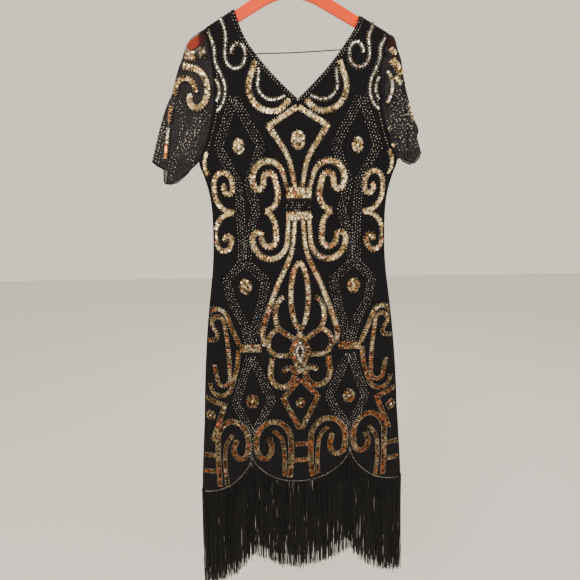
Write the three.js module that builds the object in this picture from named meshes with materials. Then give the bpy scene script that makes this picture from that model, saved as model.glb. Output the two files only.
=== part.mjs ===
// Sequined flapper dress hanging on a plastic hanger.
//
// Millimetres, +Z up, the front of the dress faces -Y. The origin is the point inside the
// hanger's hook where a rail carries it. "Depth" means millimetres down from the neck points,
// which are the two places where a shoulder seam meets the neckline. Left and right are the
// wearer's, so the wearer's right side is at -X.
import * as THREE from 'three';

// ---------- driving dimensions ----------
const CLOTH_WALL = 1.5;
const FRINGE_WALL = 2.4;
const SEAM_GAP = 0.3;
const SAME_POINT = 1e-6; // two halves of a panel share a point when they are this close
const NECK_POINT_Z = -142;
const NECK_HALF_WIDTH = 122.5;
const NECK_CURVE = 1.5; // 1 is a straight V, more bows the edge outwards
const SHOULDER_SLOPE = THREE.MathUtils.degToRad(30);
const UNDERARM_CENTRE = 250; // depth on the centre line of the row that ends at the underarm
const HEM_TILT = 17; // how much lower the wearer's right side of the hem hangs
const TILT_START = 480; // depth where that tilt begins
const TILT_END = 1000;
// The dress hangs a little towards the wearer's left of the hook, so that shoulder lies lower
// on the hanger and the other one higher.
const DRESS_SHIFT = 12;
const SHOULDER_LEAN = DRESS_SHIFT * Math.tan(SHOULDER_SLOPE);
const LEAN_FULL_X = 90; // from this distance off the centre line the whole lean applies
const LEAN_START = 8; // distance below the shoulder's line where the lean begins to die out
const LEAN_END = 58;

// What differs between the front and the back: side in Y, neck depth, and how far it bows out.
const FRONT = { name: 'front', y: -1, neckDepth: 163, bow: 'front' };
const BACK = { name: 'back', y: 1, neckDepth: 218, bow: 'back' };

// Rows from the shoulder seam to the underarm. neck: fraction of the neck edge (1 is the
// point of the V, 2 is UNDERARM_CENTRE); depth and half: where the row meets the armhole;
// stand: half the thickness of the sleeve opening there; bow: the extra at the centre line.
const ARM_ROWS = [
  { neck: 0, depth: 33.8, half: 181, stand: 0, front: 0, back: 0 },
  { neck: 0.011, depth: 35.6, half: 181, stand: 4.8, front: 0, back: 0 },
  { neck: 0.03, depth: 38.8, half: 180.8, stand: 6.8, front: 0, back: 0 },
  { neck: 0.07, depth: 45.5, half: 180, stand: 7.6, front: 0.3, back: 0.2 },
  { neck: 0.22, depth: 72, half: 175, stand: 7.8, front: 2, back: 1 },
  { neck: 0.42, depth: 104, half: 170.5, stand: 8.4, front: 5, back: 2 },
  { neck: 0.62, depth: 142, half: 169, stand: 8.8, front: 8, back: 3 },
  { neck: 0.82, depth: 182, half: 173.5, stand: 8.8, front: 10, back: 4 },
  { neck: 1, depth: 222, half: 184, stand: 8, front: 12, back: 5 },
  { neck: 1.5, depth: 256, half: 196.5, stand: 5.6, front: 14, back: 6.5 },
  { neck: 2, depth: 280, half: 207, stand: 0, front: 18, back: 9 },
];

// Rows from below the underarm to above the hem. Depth on the centre line and at the side
// seam, half the flat width, and how far the front and the back bow out at the centre.
const BODY_ROWS = [
  { centre: 288, side: 306, half: 199, front: 18, back: 9 },
  { centre: 328, side: 336, half: 190.5, front: 17.5, back: 9 },
  { centre: 367, side: 370, half: 185.5, front: 17, back: 8.5 },
  { centre: 408, side: 408, half: 184.5, front: 17, back: 8.5 },
  { centre: 455, side: 455, half: 185.5, front: 18, back: 9 },
  { centre: 510, side: 510, half: 190, front: 20, back: 10 },
  { centre: 565, side: 565, half: 198, front: 21.5, back: 11 },
  { centre: 625, side: 625, half: 206.5, front: 22.5, back: 12 },
  { centre: 700, side: 700, half: 215, front: 23, back: 12.5 },
  { centre: 785, side: 785, half: 222.5, front: 23.5, back: 13 },
  { centre: 850, side: 850, half: 227, front: 24, back: 13 },
  { centre: 905, side: 905, half: 232, front: 24.5, back: 13 },
];

// The scalloped hem: one lobe at the centre of each panel and one round each side seam.
// round: how quickly a lobe's edge drops away from the notch, 1 is soft, 0.5 is steep.
const HEM = {
  half: 243, notchX: 116, notch: 946, centre: 1021, side: 1043, round: 0.65, front: 25, back: 13,
};
const LOBE_WIDTH_POWER = 2.2;
const HEM_FRACTIONS = [0.5, 1]; // rows between the last body row and the hem
const FRINGE = { half: 250, notch: 1214, centre: 1274, side: 1306, round: 0.9 };
const FRINGE_FRACTIONS = [0, 0.5, 1];

// Columns of a half panel, as a fraction of its half width. One column meets the hem's notch.
const NOTCH_COLUMN = HEM.notchX / HEM.half;
const COLUMNS = [0, 0.13, 0.26, 0.37, 0.44, NOTCH_COLUMN, 0.52, 0.6, 0.71, 0.82, 0.91, 0.975, 1];

// Sleeves. fold: the outer edge from the shoulder point to the hem; hem: from the outer edge
// to the underarm; both as [distance from the centre line, depth]. open: half the thickness
// of the sleeve's mouth.
const SLEEVES = [
  {
    name: 'sleeve_right', x: -1, open: 13,
    fold: [[181.4, 34], [199, 42], [212, 48.5], [227, 63], [231, 88], [246, 121], [282, 217], [305, 282]],
    hem: [[305, 282], [294, 305], [281, 326], [262, 327], [243, 319]],
  },
  {
    name: 'sleeve_left', x: 1, open: 15,
    fold: [[181.4, 34], [201, 43], [211, 66], [224, 121], [244, 200], [256, 264]],
    hem: [[256, 264], [251, 281], [240, 291], [227, 289], [216, 285]],
  },
];
const SLEEVE_ROWS = 9;
const SLEEVE_FOLD_FALLOFF = 1.3; // how quickly the fold's curve dies out towards the underarm
const SLEEVE_BELLY = 4; // how far each side of the sleeve bows out half way down
const SLEEVE_OPENING_CURVE = 1.5; // above 1 the sleeve keeps the armhole's flatness for longer
const UNDERARM_CLEARANCE = 1.3;
const ARMHOLE_CLEARANCE = 0.42; // between the panel's edge and the sleeve's

// The strap across the back of the neck.
const STRAP = { width: 3.6, thickness: 1.2, depth: 68, rise: 3, sag: 1.5, y: 7.6, steps: 12 };

// The hanger: its arms, its rounded centre and its hook.
const HANGER = {
  thickness: 9, height: 21, tipHeight: 16, halfSpan: 203, clearance: 3.6, curveSegments: 6,
  crownX: 46, crownDrop: 11, crownLift: 1, collarHalf: 9, collarRise: 9,
};
// The rounded end of an arm: where its top and bottom lines stop before the tip, how far its
// nose stands past the tip, and how far its top sags there.
const TIP = { topStop: 4, bottomStop: 6, nose: 3, sag: 1 };
// The hook: a straight stem, then an arc with its angles in degrees from the +X axis.
const HOOK = { radius: 3.6, inner: 19, stem: 10, start: 222, end: -38, turns: 9, sides: 12, steps: 44 };

// ---------- small helpers ----------
const lerp = THREE.MathUtils.lerp;

// How much higher a point of the dress rides for the dress's place on the hanger.
function lean(x, depth) {
  const across = THREE.MathUtils.clamp(-x / LEAN_FULL_X, -1, 1);
  const outside = Math.max(0, Math.abs(x) - NECK_HALF_WIDTH);
  const below = depth - outside * Math.tan(SHOULDER_SLOPE);
  return SHOULDER_LEAN * across * (1 - THREE.MathUtils.smoothstep(below, LEAN_START, LEAN_END));
}

// A point of the dress from its distance off the dress's centre line, its depth and its Y.
function dressPoint(x, depth, y) {
  return new THREE.Vector3(x + DRESS_SHIFT, y, NECK_POINT_Z - depth + lean(x, depth));
}

// Half the width of the neck opening at a depth.
function neckHalf(depth, neckDepth) {
  const along = Math.min(depth / neckDepth, 1);
  return NECK_HALF_WIDTH * (1 - along ** NECK_CURVE);
}

// The hem's tilt: more depth on the wearer's right, less on the wearer's left.
function tilt(x, depth) {
  const ramp = THREE.MathUtils.smoothstep(depth, TILT_START, TILT_END);
  return (-HEM_TILT * ramp * x) / HEM.half;
}

// Depth of a scalloped edge at x, for an edge with the given half width and depths.
function scallop(edge, x) {
  const notchX = (HEM.notchX * edge.half) / HEM.half;
  const inCentre = Math.abs(x) < notchX;
  const along = inCentre ? Math.abs(x) / notchX : (edge.half - Math.abs(x)) / (edge.half - notchX);
  const drop = (inCentre ? edge.centre : edge.side) - edge.notch;
  return edge.notch + drop * Math.max(0, 1 - along ** LOBE_WIDTH_POWER) ** edge.round;
}

// A point on a closed lens section: bow at the centre, the stand at the outer edge. The power
// makes a flat-sided curve (1) or a rounded fold at the side (0.5).
function sectionY(row, bow, across, power) {
  return row.stand + bow * Math.max(0, 1 - across ** 2) ** power;
}

// ---------- sheets and walls ----------
// A sheet is a list of points and of quads that face outwards.
function newSheet() {
  return { points: [], quads: [], fixed: new Map() };
}

function addPoint(sheet, point, normal = null) {
  sheet.points.push(point);
  if (normal) sheet.fixed.set(sheet.points.length - 1, normal);
  return sheet.points.length - 1;
}

// Outward direction at every point: the average of its quads, or the fixed one at a seam.
function sheetNormals(sheet) {
  const normals = sheet.points.map(() => new THREE.Vector3());
  for (const quad of sheet.quads) {
    const [a, b, c, d] = quad.map((index) => sheet.points[index]);
    const across = new THREE.Vector3().subVectors(c, a);
    const face = across.cross(new THREE.Vector3().subVectors(d, b)).normalize();
    quad.forEach((index) => normals[index].add(face));
  }
  return normals.map((normal, index) => (sheet.fixed.get(index) ?? normal).normalize());
}

// A closed wall of the given thickness with the sheet in its middle.
function thicken(sheet, wall) {
  const normals = sheetNormals(sheet);
  const count = sheet.points.length;
  const positions = [];
  for (const side of [wall / 2, -wall / 2]) {
    sheet.points.forEach((point, index) => {
      positions.push(...point.clone().addScaledVector(normals[index], side));
    });
  }
  const faces = [];
  const open = new Map();
  for (const quad of sheet.quads) {
    const [a, b, c, d] = quad;
    faces.push(a, b, c, a, c, d);
    faces.push(count + a, count + c, count + b, count + a, count + d, count + c);
    for (let corner = 0; corner < 4; corner += 1) {
      const from = quad[corner];
      const to = quad[(corner + 1) % 4];
      if (!open.delete(`${to},${from}`)) open.set(`${from},${to}`, [from, to]);
    }
  }
  for (const [from, to] of open.values()) {
    faces.push(to, from, count + from, to, count + from, count + to);
  }
  const geometry = new THREE.BufferGeometry();
  geometry.setAttribute('position', new THREE.Float32BufferAttribute(positions, 3));
  geometry.setIndex(faces);
  return geometry;
}

// Adds a quad that faces the panel's own side, whichever way its corners were listed.
function addFacingQuad(sheet, corners, ySide) {
  const [a, b, c] = corners.map((index) => sheet.points[index]);
  const up = new THREE.Vector3().subVectors(b, a).cross(new THREE.Vector3().subVectors(c, a));
  sheet.quads.push(up.y * ySide > 0 ? corners : [...corners].reverse());
}

// Joins rows of point indices, which all have the same number of columns, into quads.
function joinRows(sheet, rows, ySide) {
  for (let row = 0; row + 1 < rows.length; row += 1) {
    for (let column = 0; column + 1 < rows[row].length; column += 1) {
      const top = [rows[row][column], rows[row][column + 1]];
      const bottom = [rows[row + 1][column + 1], rows[row + 1][column]];
      addFacingQuad(sheet, [...top, ...bottom], ySide);
    }
  }
}

// ---------- dress panels ----------
// Outward direction of the armhole's edge in the Y-Z plane, at one arm row.
function armholeNormal(index, ySide) {
  const before = ARM_ROWS[index - 1];
  const after = ARM_ROWS[index + 1];
  const fall = after.depth - before.depth;
  const spread = after.stand - before.stand;
  return new THREE.Vector3(0, ySide * fall, spread).normalize();
}

// One arm row of half a panel: points from the neck edge or centre line to the armhole.
function armRowPoints(panel, xSide, index) {
  const row = ARM_ROWS[index];
  const beyond = Math.max(0, row.neck - 1);
  const inner = panel.neckDepth * Math.min(row.neck, 1) + (UNDERARM_CENTRE - panel.neckDepth) * beyond;
  const innerX = neckHalf(inner, panel.neckDepth);
  const power = row.stand > 0 ? 1 : 0.5;
  return COLUMNS.map((fraction) => {
    const x = lerp(innerX, row.half, fraction);
    const depth = lerp(inner, row.depth, fraction);
    const y = sectionY(row, row[panel.bow], x / row.half, power);
    return dressPoint(xSide * x, depth, panel.y * (SEAM_GAP / 2 + y));
  });
}

// One row below the underarm.
function bodyRowPoints(panel, xSide, row) {
  return COLUMNS.map((fraction) => {
    const x = xSide * row.half * fraction;
    const depth = lerp(row.centre, row.side, fraction);
    const y = sectionY({ stand: 0 }, row[panel.bow], fraction, 0.5);
    return dressPoint(x, depth + tilt(x, depth), panel.y * (SEAM_GAP / 2 + y));
  });
}

// A row between a level row and a scalloped edge.
function scallopRowPoints(panel, xSide, top, edge, share) {
  const half = lerp(top.half, edge.half, share);
  return COLUMNS.map((fraction) => {
    const x = half * fraction;
    const depth = lerp(top.depthAt(fraction), scallop(edge, edge.half * fraction), share);
    const y = sectionY({ stand: 0 }, HEM[panel.bow], fraction, 0.5);
    return dressPoint(xSide * x, depth + tilt(xSide * x, depth), panel.y * (SEAM_GAP / 2 + y));
  });
}

// The seam directions that keep a panel's wall clear of its neighbours.
function panelNormal(xSide, rowIndex, isOuter, ySide) {
  const underarm = ARM_ROWS.length - 1;
  if (rowIndex === 0) {
    return new THREE.Vector3(xSide * Math.sin(SHOULDER_SLOPE), 0, Math.cos(SHOULDER_SLOPE));
  }
  if (!isOuter) return null;
  return rowIndex < underarm ? armholeNormal(rowIndex, ySide) : new THREE.Vector3(xSide, 0, 0);
}

// The front or back of the dress: two halves that share the centre line below the V.
function dressPanel(panel) {
  const sheet = newSheet();
  const lastBody = BODY_ROWS.at(-1);
  const level = { half: lastBody.half, depthAt: () => lastBody.side };
  const centreLine = new Map();
  for (const xSide of [-1, 1]) {
    const rows = [
      ...ARM_ROWS.map((row, index) => armRowPoints(panel, xSide, index)),
      ...BODY_ROWS.map((row) => bodyRowPoints(panel, xSide, row)),
      ...HEM_FRACTIONS.map((share) => scallopRowPoints(panel, xSide, level, HEM, share)),
    ];
    const indices = rows.map((points, rowIndex) => points.map((point, column) => {
      const shared = column === 0 && Math.abs(point.x - DRESS_SHIFT) < SAME_POINT;
      if (shared && centreLine.has(rowIndex)) return centreLine.get(rowIndex);
      const isOuter = column === points.length - 1;
      const index = addPoint(sheet, point, panelNormal(xSide, rowIndex, isOuter, panel.y));
      if (shared) centreLine.set(rowIndex, index);
      return index;
    }));
    joinRows(sheet, indices, panel.y);
  }
  return thicken(sheet, CLOTH_WALL);
}

// The fringe below one panel, as the plain wall that its strands fill.
function fringePanel(panel) {
  const sheet = newSheet();
  const hemEdge = { half: HEM.half, depthAt: (fraction) => scallop(HEM, HEM.half * fraction) + SEAM_GAP };
  const rows = FRINGE_FRACTIONS.map((share) => {
    const right = scallopRowPoints(panel, -1, hemEdge, FRINGE, share).reverse();
    const left = scallopRowPoints(panel, 1, hemEdge, FRINGE, share).slice(1);
    return [...right, ...left].map((point, column, all) => {
      const isSeam = column === 0 || column === all.length - 1;
      return addPoint(sheet, point, isSeam ? new THREE.Vector3(column === 0 ? -1 : 1, 0, 0) : null);
    });
  });
  joinRows(sheet, rows, panel.y);
  return thicken(sheet, FRINGE_WALL);
}

// ---------- sleeves ----------
// A smooth curve through [distance, depth] pairs, read by a fraction of its length.
function planCurve(pairs) {
  return new THREE.CatmullRomCurve3(pairs.map(([x, depth]) => new THREE.Vector3(x, depth, 0)));
}

// The armhole ring in the sleeve's own order: down the front, then up the back.
function armholeRing() {
  const last = ARM_ROWS.length - 1;
  const start = ARM_ROWS[0].depth;
  const span = ARM_ROWS[last].depth - start;
  const place = (row, ySide) => ({ ...row, ySide, along: (row.depth - start) / span });
  const down = ARM_ROWS.map((row, index) => place(row, index === 0 || index === last ? 0 : -1));
  const up = ARM_ROWS.slice(1, last).map((row) => place(row, 1)).reverse();
  return [...down, ...up];
}

// One sleeve: rings from the armhole to the hem, open at both ends.
function sleeve(spec) {
  const fold = planCurve(spec.fold);
  const hem = planCurve(spec.hem);
  const foldTop = fold.getPointAt(0);
  const foldEnd = fold.getPointAt(1);
  const sheet = newSheet();
  const ring = armholeRing();
  const rows = [];
  for (let step = 0; step <= SLEEVE_ROWS; step += 1) {
    const down = step / SLEEVE_ROWS;
    const foldPoint = fold.getPointAt(down);
    const bend = foldPoint.clone().sub(foldTop.clone().lerp(foldEnd, down));
    rows.push(ring.map((place) => {
      const isUnderarm = place.along === 1;
      const lift = isUnderarm ? UNDERARM_CLEARANCE : 0;
      const start = new THREE.Vector3(place.half + ARMHOLE_CLEARANCE + lift, place.depth - lift, 0);
      const flat = start.lerp(hem.getPointAt(place.along), down);
      flat.addScaledVector(bend, (1 - place.along) ** SLEEVE_FOLD_FALLOFF);
      const round = Math.sqrt(Math.sin(Math.PI * place.along));
      const mouth = spec.open * round;
      const belly = SLEEVE_BELLY * Math.sin(Math.PI * down) * round;
      const y = place.ySide * (SEAM_GAP / 2 + lerp(place.stand, mouth, down ** SLEEVE_OPENING_CURVE) + belly);
      const isSeam = step === 0 && place.ySide !== 0;
      const index = ARM_ROWS.findIndex((row) => row.depth === place.depth);
      const normal = isSeam ? armholeNormal(index, place.ySide) : null;
      return addPoint(sheet, dressPoint(spec.x * flat.x, flat.y, y), normal);
    }));
  }
  for (let row = 0; row < SLEEVE_ROWS; row += 1) {
    for (let column = 0; column < ring.length; column += 1) {
      const next = (column + 1) % ring.length;
      const quad = [rows[row][column], rows[row][next], rows[row + 1][next], rows[row + 1][column]];
      sheet.quads.push(spec.x > 0 ? quad.reverse() : quad);
    }
  }
  return thicken(sheet, CLOTH_WALL);
}

// ---------- neck strap ----------
function neckStrap() {
  const [right, left] = [-1, 1].map((xSide) => {
    const depth = STRAP.depth - xSide * STRAP.rise;
    const x = neckHalf(depth + STRAP.width, BACK.neckDepth) - CLOTH_WALL;
    return dressPoint(xSide * x, depth, STRAP.y);
  });
  const middle = dressPoint(0, STRAP.depth + STRAP.sag, STRAP.y);
  const path = new THREE.CatmullRomCurve3([right, middle, left]);
  const shape = new THREE.Shape();
  shape.moveTo(-STRAP.width / 2, -STRAP.thickness / 2);
  shape.lineTo(STRAP.width / 2, -STRAP.thickness / 2);
  shape.lineTo(STRAP.width / 2, STRAP.thickness / 2);
  shape.lineTo(-STRAP.width / 2, STRAP.thickness / 2);
  return new THREE.ExtrudeGeometry(shape, { steps: STRAP.steps, extrudePath: path });
}

// ---------- hanger ----------
// Height of the hanger's top line at x, on the straight arm.
function armTopZ(x) {
  const drop = HANGER.clearance / Math.cos(SHOULDER_SLOPE);
  return NECK_POINT_Z + (NECK_HALF_WIDTH - Math.abs(x)) * Math.tan(SHOULDER_SLOPE) - drop;
}

// The outline of the arms with the rounded centre and the collar that carries the hook.
function hangerArms() {
  const { halfSpan, crownX, crownDrop, crownLift, collarHalf, collarRise } = HANGER;
  const side = HANGER.height / Math.cos(SHOULDER_SLOPE);
  const tipSide = HANGER.tipHeight / Math.cos(SHOULDER_SLOPE);
  const crownTop = armTopZ(0) - crownDrop;
  const tipTop = armTopZ(halfSpan);
  const nose = halfSpan + TIP.nose;
  const topStop = halfSpan - TIP.topStop;
  const bottomStop = halfSpan - TIP.bottomStop;
  const shape = new THREE.Shape();
  shape.moveTo(-collarHalf, crownTop + collarRise);
  shape.lineTo(-collarHalf, crownTop);
  shape.quadraticCurveTo(-crownX / 2, crownTop - crownLift, -crownX, armTopZ(crownX));
  shape.lineTo(-topStop, armTopZ(topStop));
  shape.quadraticCurveTo(-nose, tipTop - TIP.sag, -nose, tipTop - tipSide / 2);
  shape.quadraticCurveTo(-nose, tipTop - tipSide, -bottomStop, armTopZ(bottomStop) - tipSide);
  shape.lineTo(-crownX, armTopZ(crownX) - side);
  shape.quadraticCurveTo(0, armTopZ(0) - side - crownDrop / 2, crownX, armTopZ(crownX) - side);
  shape.lineTo(bottomStop, armTopZ(bottomStop) - tipSide);
  shape.quadraticCurveTo(nose, tipTop - tipSide, nose, tipTop - tipSide / 2);
  shape.quadraticCurveTo(nose, tipTop - TIP.sag, topStop, armTopZ(topStop));
  shape.lineTo(crownX, armTopZ(crownX));
  shape.quadraticCurveTo(crownX / 2, crownTop - crownLift, collarHalf, crownTop);
  shape.lineTo(collarHalf, crownTop + collarRise);
  shape.closePath();
  const geometry = new THREE.ExtrudeGeometry(shape, {
    depth: HANGER.thickness, bevelEnabled: false, curveSegments: HANGER.curveSegments,
  });
  geometry.rotateX(Math.PI / 2);
  geometry.translate(0, HANGER.thickness / 2, 0);
  return geometry;
}

// The hook: up from the collar, round behind the rail and over it.
function hangerHook() {
  const middle = HOOK.inner + HOOK.radius;
  const foot = armTopZ(0) - HANGER.crownDrop + HANGER.collarRise + SEAM_GAP;
  const points = [new THREE.Vector3(0, 0, foot), new THREE.Vector3(0, 0, foot + HOOK.stem)];
  for (let step = 0; step <= HOOK.turns; step += 1) {
    const angle = THREE.MathUtils.degToRad(lerp(HOOK.start, HOOK.end, step / HOOK.turns));
    points.push(new THREE.Vector3(middle * Math.cos(angle), 0, middle * Math.sin(angle) - HOOK.inner));
  }
  const shape = new THREE.Shape();
  for (let side = 0; side < HOOK.sides; side += 1) {
    const angle = (2 * Math.PI * side) / HOOK.sides;
    const corner = [HOOK.radius * Math.cos(angle), HOOK.radius * Math.sin(angle)];
    if (side === 0) shape.moveTo(...corner);
    else shape.lineTo(...corner);
  }
  const path = new THREE.CatmullRomCurve3(points);
  return new THREE.ExtrudeGeometry(shape, { steps: HOOK.steps, extrudePath: path });
}

// ---------- the object ----------
function cloth(color) {
  return new THREE.MeshStandardMaterial({ color, roughness: 0.9, metalness: 0 });
}

function plastic(color) {
  return new THREE.MeshStandardMaterial({ color, roughness: 0.35, metalness: 0 });
}

function named(name, geometry, material) {
  const mesh = new THREE.Mesh(geometry, material);
  mesh.name = name;
  return mesh;
}

const dress = new THREE.Group();
for (const panel of [FRONT, BACK]) {
  dress.add(named(`dress_${panel.name}`, dressPanel(panel), cloth(0x141318)));
  dress.add(named(`fringe_${panel.name}`, fringePanel(panel), cloth(0x0d0d10)));
}
for (const spec of SLEEVES) dress.add(named(spec.name, sleeve(spec), cloth(0x1b1a20)));
dress.add(named('neck_strap', neckStrap(), cloth(0x17161a)));
dress.add(named('hanger_arms', hangerArms(), plastic(0xf26a2e)));
dress.add(named('hanger_hook', hangerHook(), plastic(0xf26a2e)));

export default dress;
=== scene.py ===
import math

import bmesh
import bpy
import numpy as np
from mathutils import Euler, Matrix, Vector, noise
from mathutils.bvhtree import BVHTree


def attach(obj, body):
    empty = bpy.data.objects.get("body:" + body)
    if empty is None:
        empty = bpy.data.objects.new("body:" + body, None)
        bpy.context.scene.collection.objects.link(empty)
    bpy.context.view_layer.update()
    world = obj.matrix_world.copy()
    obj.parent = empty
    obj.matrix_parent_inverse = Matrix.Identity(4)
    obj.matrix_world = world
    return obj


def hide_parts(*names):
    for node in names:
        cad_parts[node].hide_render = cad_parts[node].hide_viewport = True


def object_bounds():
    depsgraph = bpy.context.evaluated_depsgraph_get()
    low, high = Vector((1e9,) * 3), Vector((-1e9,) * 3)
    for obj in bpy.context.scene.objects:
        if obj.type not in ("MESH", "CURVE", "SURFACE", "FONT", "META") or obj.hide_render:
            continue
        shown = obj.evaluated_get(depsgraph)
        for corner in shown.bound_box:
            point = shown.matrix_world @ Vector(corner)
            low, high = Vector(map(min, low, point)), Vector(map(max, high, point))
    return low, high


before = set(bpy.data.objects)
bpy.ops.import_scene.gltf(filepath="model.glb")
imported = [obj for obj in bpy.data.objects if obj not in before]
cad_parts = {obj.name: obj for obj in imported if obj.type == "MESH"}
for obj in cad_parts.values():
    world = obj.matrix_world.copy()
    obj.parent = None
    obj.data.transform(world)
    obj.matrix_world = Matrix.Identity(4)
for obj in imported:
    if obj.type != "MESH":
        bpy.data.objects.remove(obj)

CAD_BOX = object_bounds()
MM = 0.001
RNG = np.random.default_rng(1926)

# ---------------------------------------------------------------- garment sizes, millimetres
NECK_Z = -142.0
NECK_HALF = 122.5
NECK_CURVE = 1.5
SHOULDER_SLOPE = math.radians(30)
SHOULDER_ROUND = 11.0  # how far down from the shoulder line the cloth rounds over the hanger
ARMHOLE_TOP = 34.0
UNDERARM = 280.0
UNDERARM_CENTRE = 250.0
SEAM_GAP = 0.3
HEM_TILT = 17.0
TILT_START, TILT_END = 480.0, 1000.0
# The dress hangs a little to the wearer's left of the hook, so one shoulder rides higher.
DRESS_SHIFT = 12.0
SHOULDER_LEAN = DRESS_SHIFT * math.tan(SHOULDER_SLOPE)
LEAN_FULL_X = 90.0
LEAN_START, LEAN_END = 8.0, 58.0
NECK_DEPTH = {"front": 163.0, "back": 218.0}
SIDE_Y = {"front": -1.0, "back": 1.0}
OTHER = {"front": "back", "back": "front"}

# depth at the outer edge, depth on the neck edge or centre line as a fraction (1 is the point
# of the V, 2 is UNDERARM_CENTRE), half width, half thickness at the armhole
ARM_ROWS = [
    (33.8, 0.0, 181.0, 7.6),
    (45.5, 0.07, 180.0, 7.6),
    (72.0, 0.22, 175.0, 7.8),
    (104.0, 0.42, 170.5, 8.4),
    (142.0, 0.62, 169.0, 8.8),
    (182.0, 0.82, 173.5, 8.8),
    (222.0, 1.0, 184.0, 8.0),
    (256.0, 1.5, 196.5, 5.6),
    (UNDERARM, 2.0, 207.0, 0.0),
]
# depth at the centre line, depth at the side, half width
BODY_ROWS = [
    (288, 306, 199.0),
    (328, 336, 190.5),
    (367, 370, 185.5),
    (408, 408, 184.5),
    (455, 455, 185.5),
    (510, 510, 190.0),
    (565, 565, 198.0),
    (625, 625, 206.5),
    (700, 700, 215.0),
    (785, 785, 222.5),
    (850, 850, 227.0),
    (905, 905, 232.0),
]
HEM = {"half": 243.0, "notch": 946.0, "centre": 1021.0, "side": 1043.0, "round": 0.65}
FRINGE = {"half": 250.0, "notch": 1214.0, "centre": 1274.0, "side": 1306.0, "round": 0.9}
NOTCH_X = 116.0
LOBE_POWER = 2.2
# depth, how far the front bows out at the centre, how far the back does
BOWS = [
    (0, 0.0, 0.0), (45, 0.3, 0.2), (72, 2, 1), (104, 5, 2), (142, 8, 3), (182, 10, 4),
    (222, 12, 5), (256, 14, 6.5), (280, 18, 9), (336, 17.5, 9), (408, 17, 8.5), (455, 18, 9),
    (510, 20, 10), (565, 21.5, 11), (625, 22.5, 12), (785, 23.5, 13), (905, 24.5, 13),
    (1043, 25, 13), (1345, 25, 13),
]


# ---------------------------------------------------------------- reading the tables
def smooth_table(xs, ys):
    """A smooth curve through the table's points, as a function."""
    xs, ys = np.array(xs, float), np.array(ys, float)
    slopes = np.gradient(ys, xs)

    def read(x):
        x = np.clip(x, xs[0], xs[-1])
        i = np.clip(np.searchsorted(xs, x) - 1, 0, len(xs) - 2)
        span = xs[i + 1] - xs[i]
        t = (x - xs[i]) / span
        start = (1 + 2 * t) * (1 - t) ** 2 * ys[i] + t * (1 - t) ** 2 * span * slopes[i]
        end = t * t * (3 - 2 * t) * ys[i + 1] + t * t * (t - 1) * span * slopes[i + 1]
        return start + end

    return read


def smoothstep(x, low, high):
    t = np.clip((x - low) / (high - low), 0, 1)
    return t * t * (3 - 2 * t)


side_depths = [r[0] for r in ARM_ROWS] + [r[1] for r in BODY_ROWS]
side_halves = [r[2] for r in ARM_ROWS] + [r[2] for r in BODY_ROWS]
half_width = smooth_table(
    side_depths + [HEM["side"], FRINGE["side"]], side_halves + [HEM["half"], FRINGE["half"]]
)
stand_at = smooth_table([0] + [r[0] for r in ARM_ROWS], [7.6] + [r[3] for r in ARM_ROWS])
bow_at = {
    "front": smooth_table([r[0] for r in BOWS], [r[1] for r in BOWS]),
    "back": smooth_table([r[0] for r in BOWS], [r[2] for r in BOWS]),
}


def neck_half(depth, side):
    return NECK_HALF * (1 - np.clip(depth / NECK_DEPTH[side], 0, 1) ** NECK_CURVE)


def tilt(x, depth):
    """The hem hangs lower on the wearer's right."""
    return -HEM_TILT * smoothstep(depth, TILT_START, TILT_END) * x / HEM["half"]


def lean(x, depth):
    """How much higher a point rides for the dress's place on the hanger."""
    below = depth - np.maximum(0, np.abs(x) - NECK_HALF) * math.tan(SHOULDER_SLOPE)
    fade = 1 - smoothstep(below, LEAN_START, LEAN_END)
    return SHOULDER_LEAN * np.clip(-x / LEAN_FULL_X, -1, 1) * fade


def hang(x, y, depth):
    """A point of the dress in the part's frame, in metres."""
    x, y, depth = np.broadcast_arrays(x, y, depth)
    z = NECK_Z - depth - tilt(x, depth) + lean(x, depth)
    return np.stack([x + DRESS_SHIFT, y, z], -1) * MM


def scallop(edge, x):
    """Depth of a scalloped edge at x."""
    x = np.abs(np.asarray(x, float))
    notch = NOTCH_X * edge["half"] / HEM["half"]
    centre = x < notch
    along = np.where(centre, x / notch, (edge["half"] - x) / (edge["half"] - notch))
    drop = np.where(centre, edge["centre"], edge["side"]) - edge["notch"]
    lobe = np.clip(1 - np.clip(along, 0, 1) ** LOBE_POWER, 0, 1) ** edge["round"]
    return edge["notch"] + drop * lobe


def section_y(side, x, depth):
    """How far the cloth stands from the middle plane at x, without creases."""
    x = np.abs(x)
    below = depth - np.maximum(0, x - NECK_HALF) * math.tan(SHOULDER_SLOPE)
    rounding = np.sqrt(1 - (1 - np.clip(below / SHOULDER_ROUND, 0, 1)) ** 2)
    power = 1 - 0.5 * smoothstep(depth, 250, 285)
    across = np.clip(1 - (x / half_width(depth)) ** 2, 0, 1) ** power
    stand = np.maximum(stand_at(depth), 0)
    return SEAM_GAP / 2 + rounding * (stand + bow_at[side](depth) * across)


# ---------------------------------------------------------------- the skin of the dress
# Each side is tabled once by depth and by fraction of the way round from the centre line to
# the side seam or armhole, so that ornament keeps its own size where the cloth turns.
DEPTH_STEP = 4.0
DEPTHS = np.arange(0, 1345 + DEPTH_STEP, DEPTH_STEP)
AROUND = 64
SKIN_STEP = 0.8  # how far to either side a direction on the cloth is measured


def skin_grid(side):
    lengths, xs, ys = [], [], []
    turn = np.sin(np.linspace(0, math.pi / 2, 160))
    for depth in DEPTHS:
        x = half_width(max(depth, ARMHOLE_TOP)) * turn
        y = section_y(side, x, depth)
        run = np.concatenate([[0], np.cumsum(np.hypot(np.diff(x), np.diff(y)))])
        even = np.linspace(0, run[-1], AROUND)
        lengths.append(run[-1])
        xs.append(np.interp(even, run, x))
        ys.append(np.interp(even, run, y))
    return {"length": np.array(lengths), "x": np.array(xs), "y": np.array(ys)}


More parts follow.
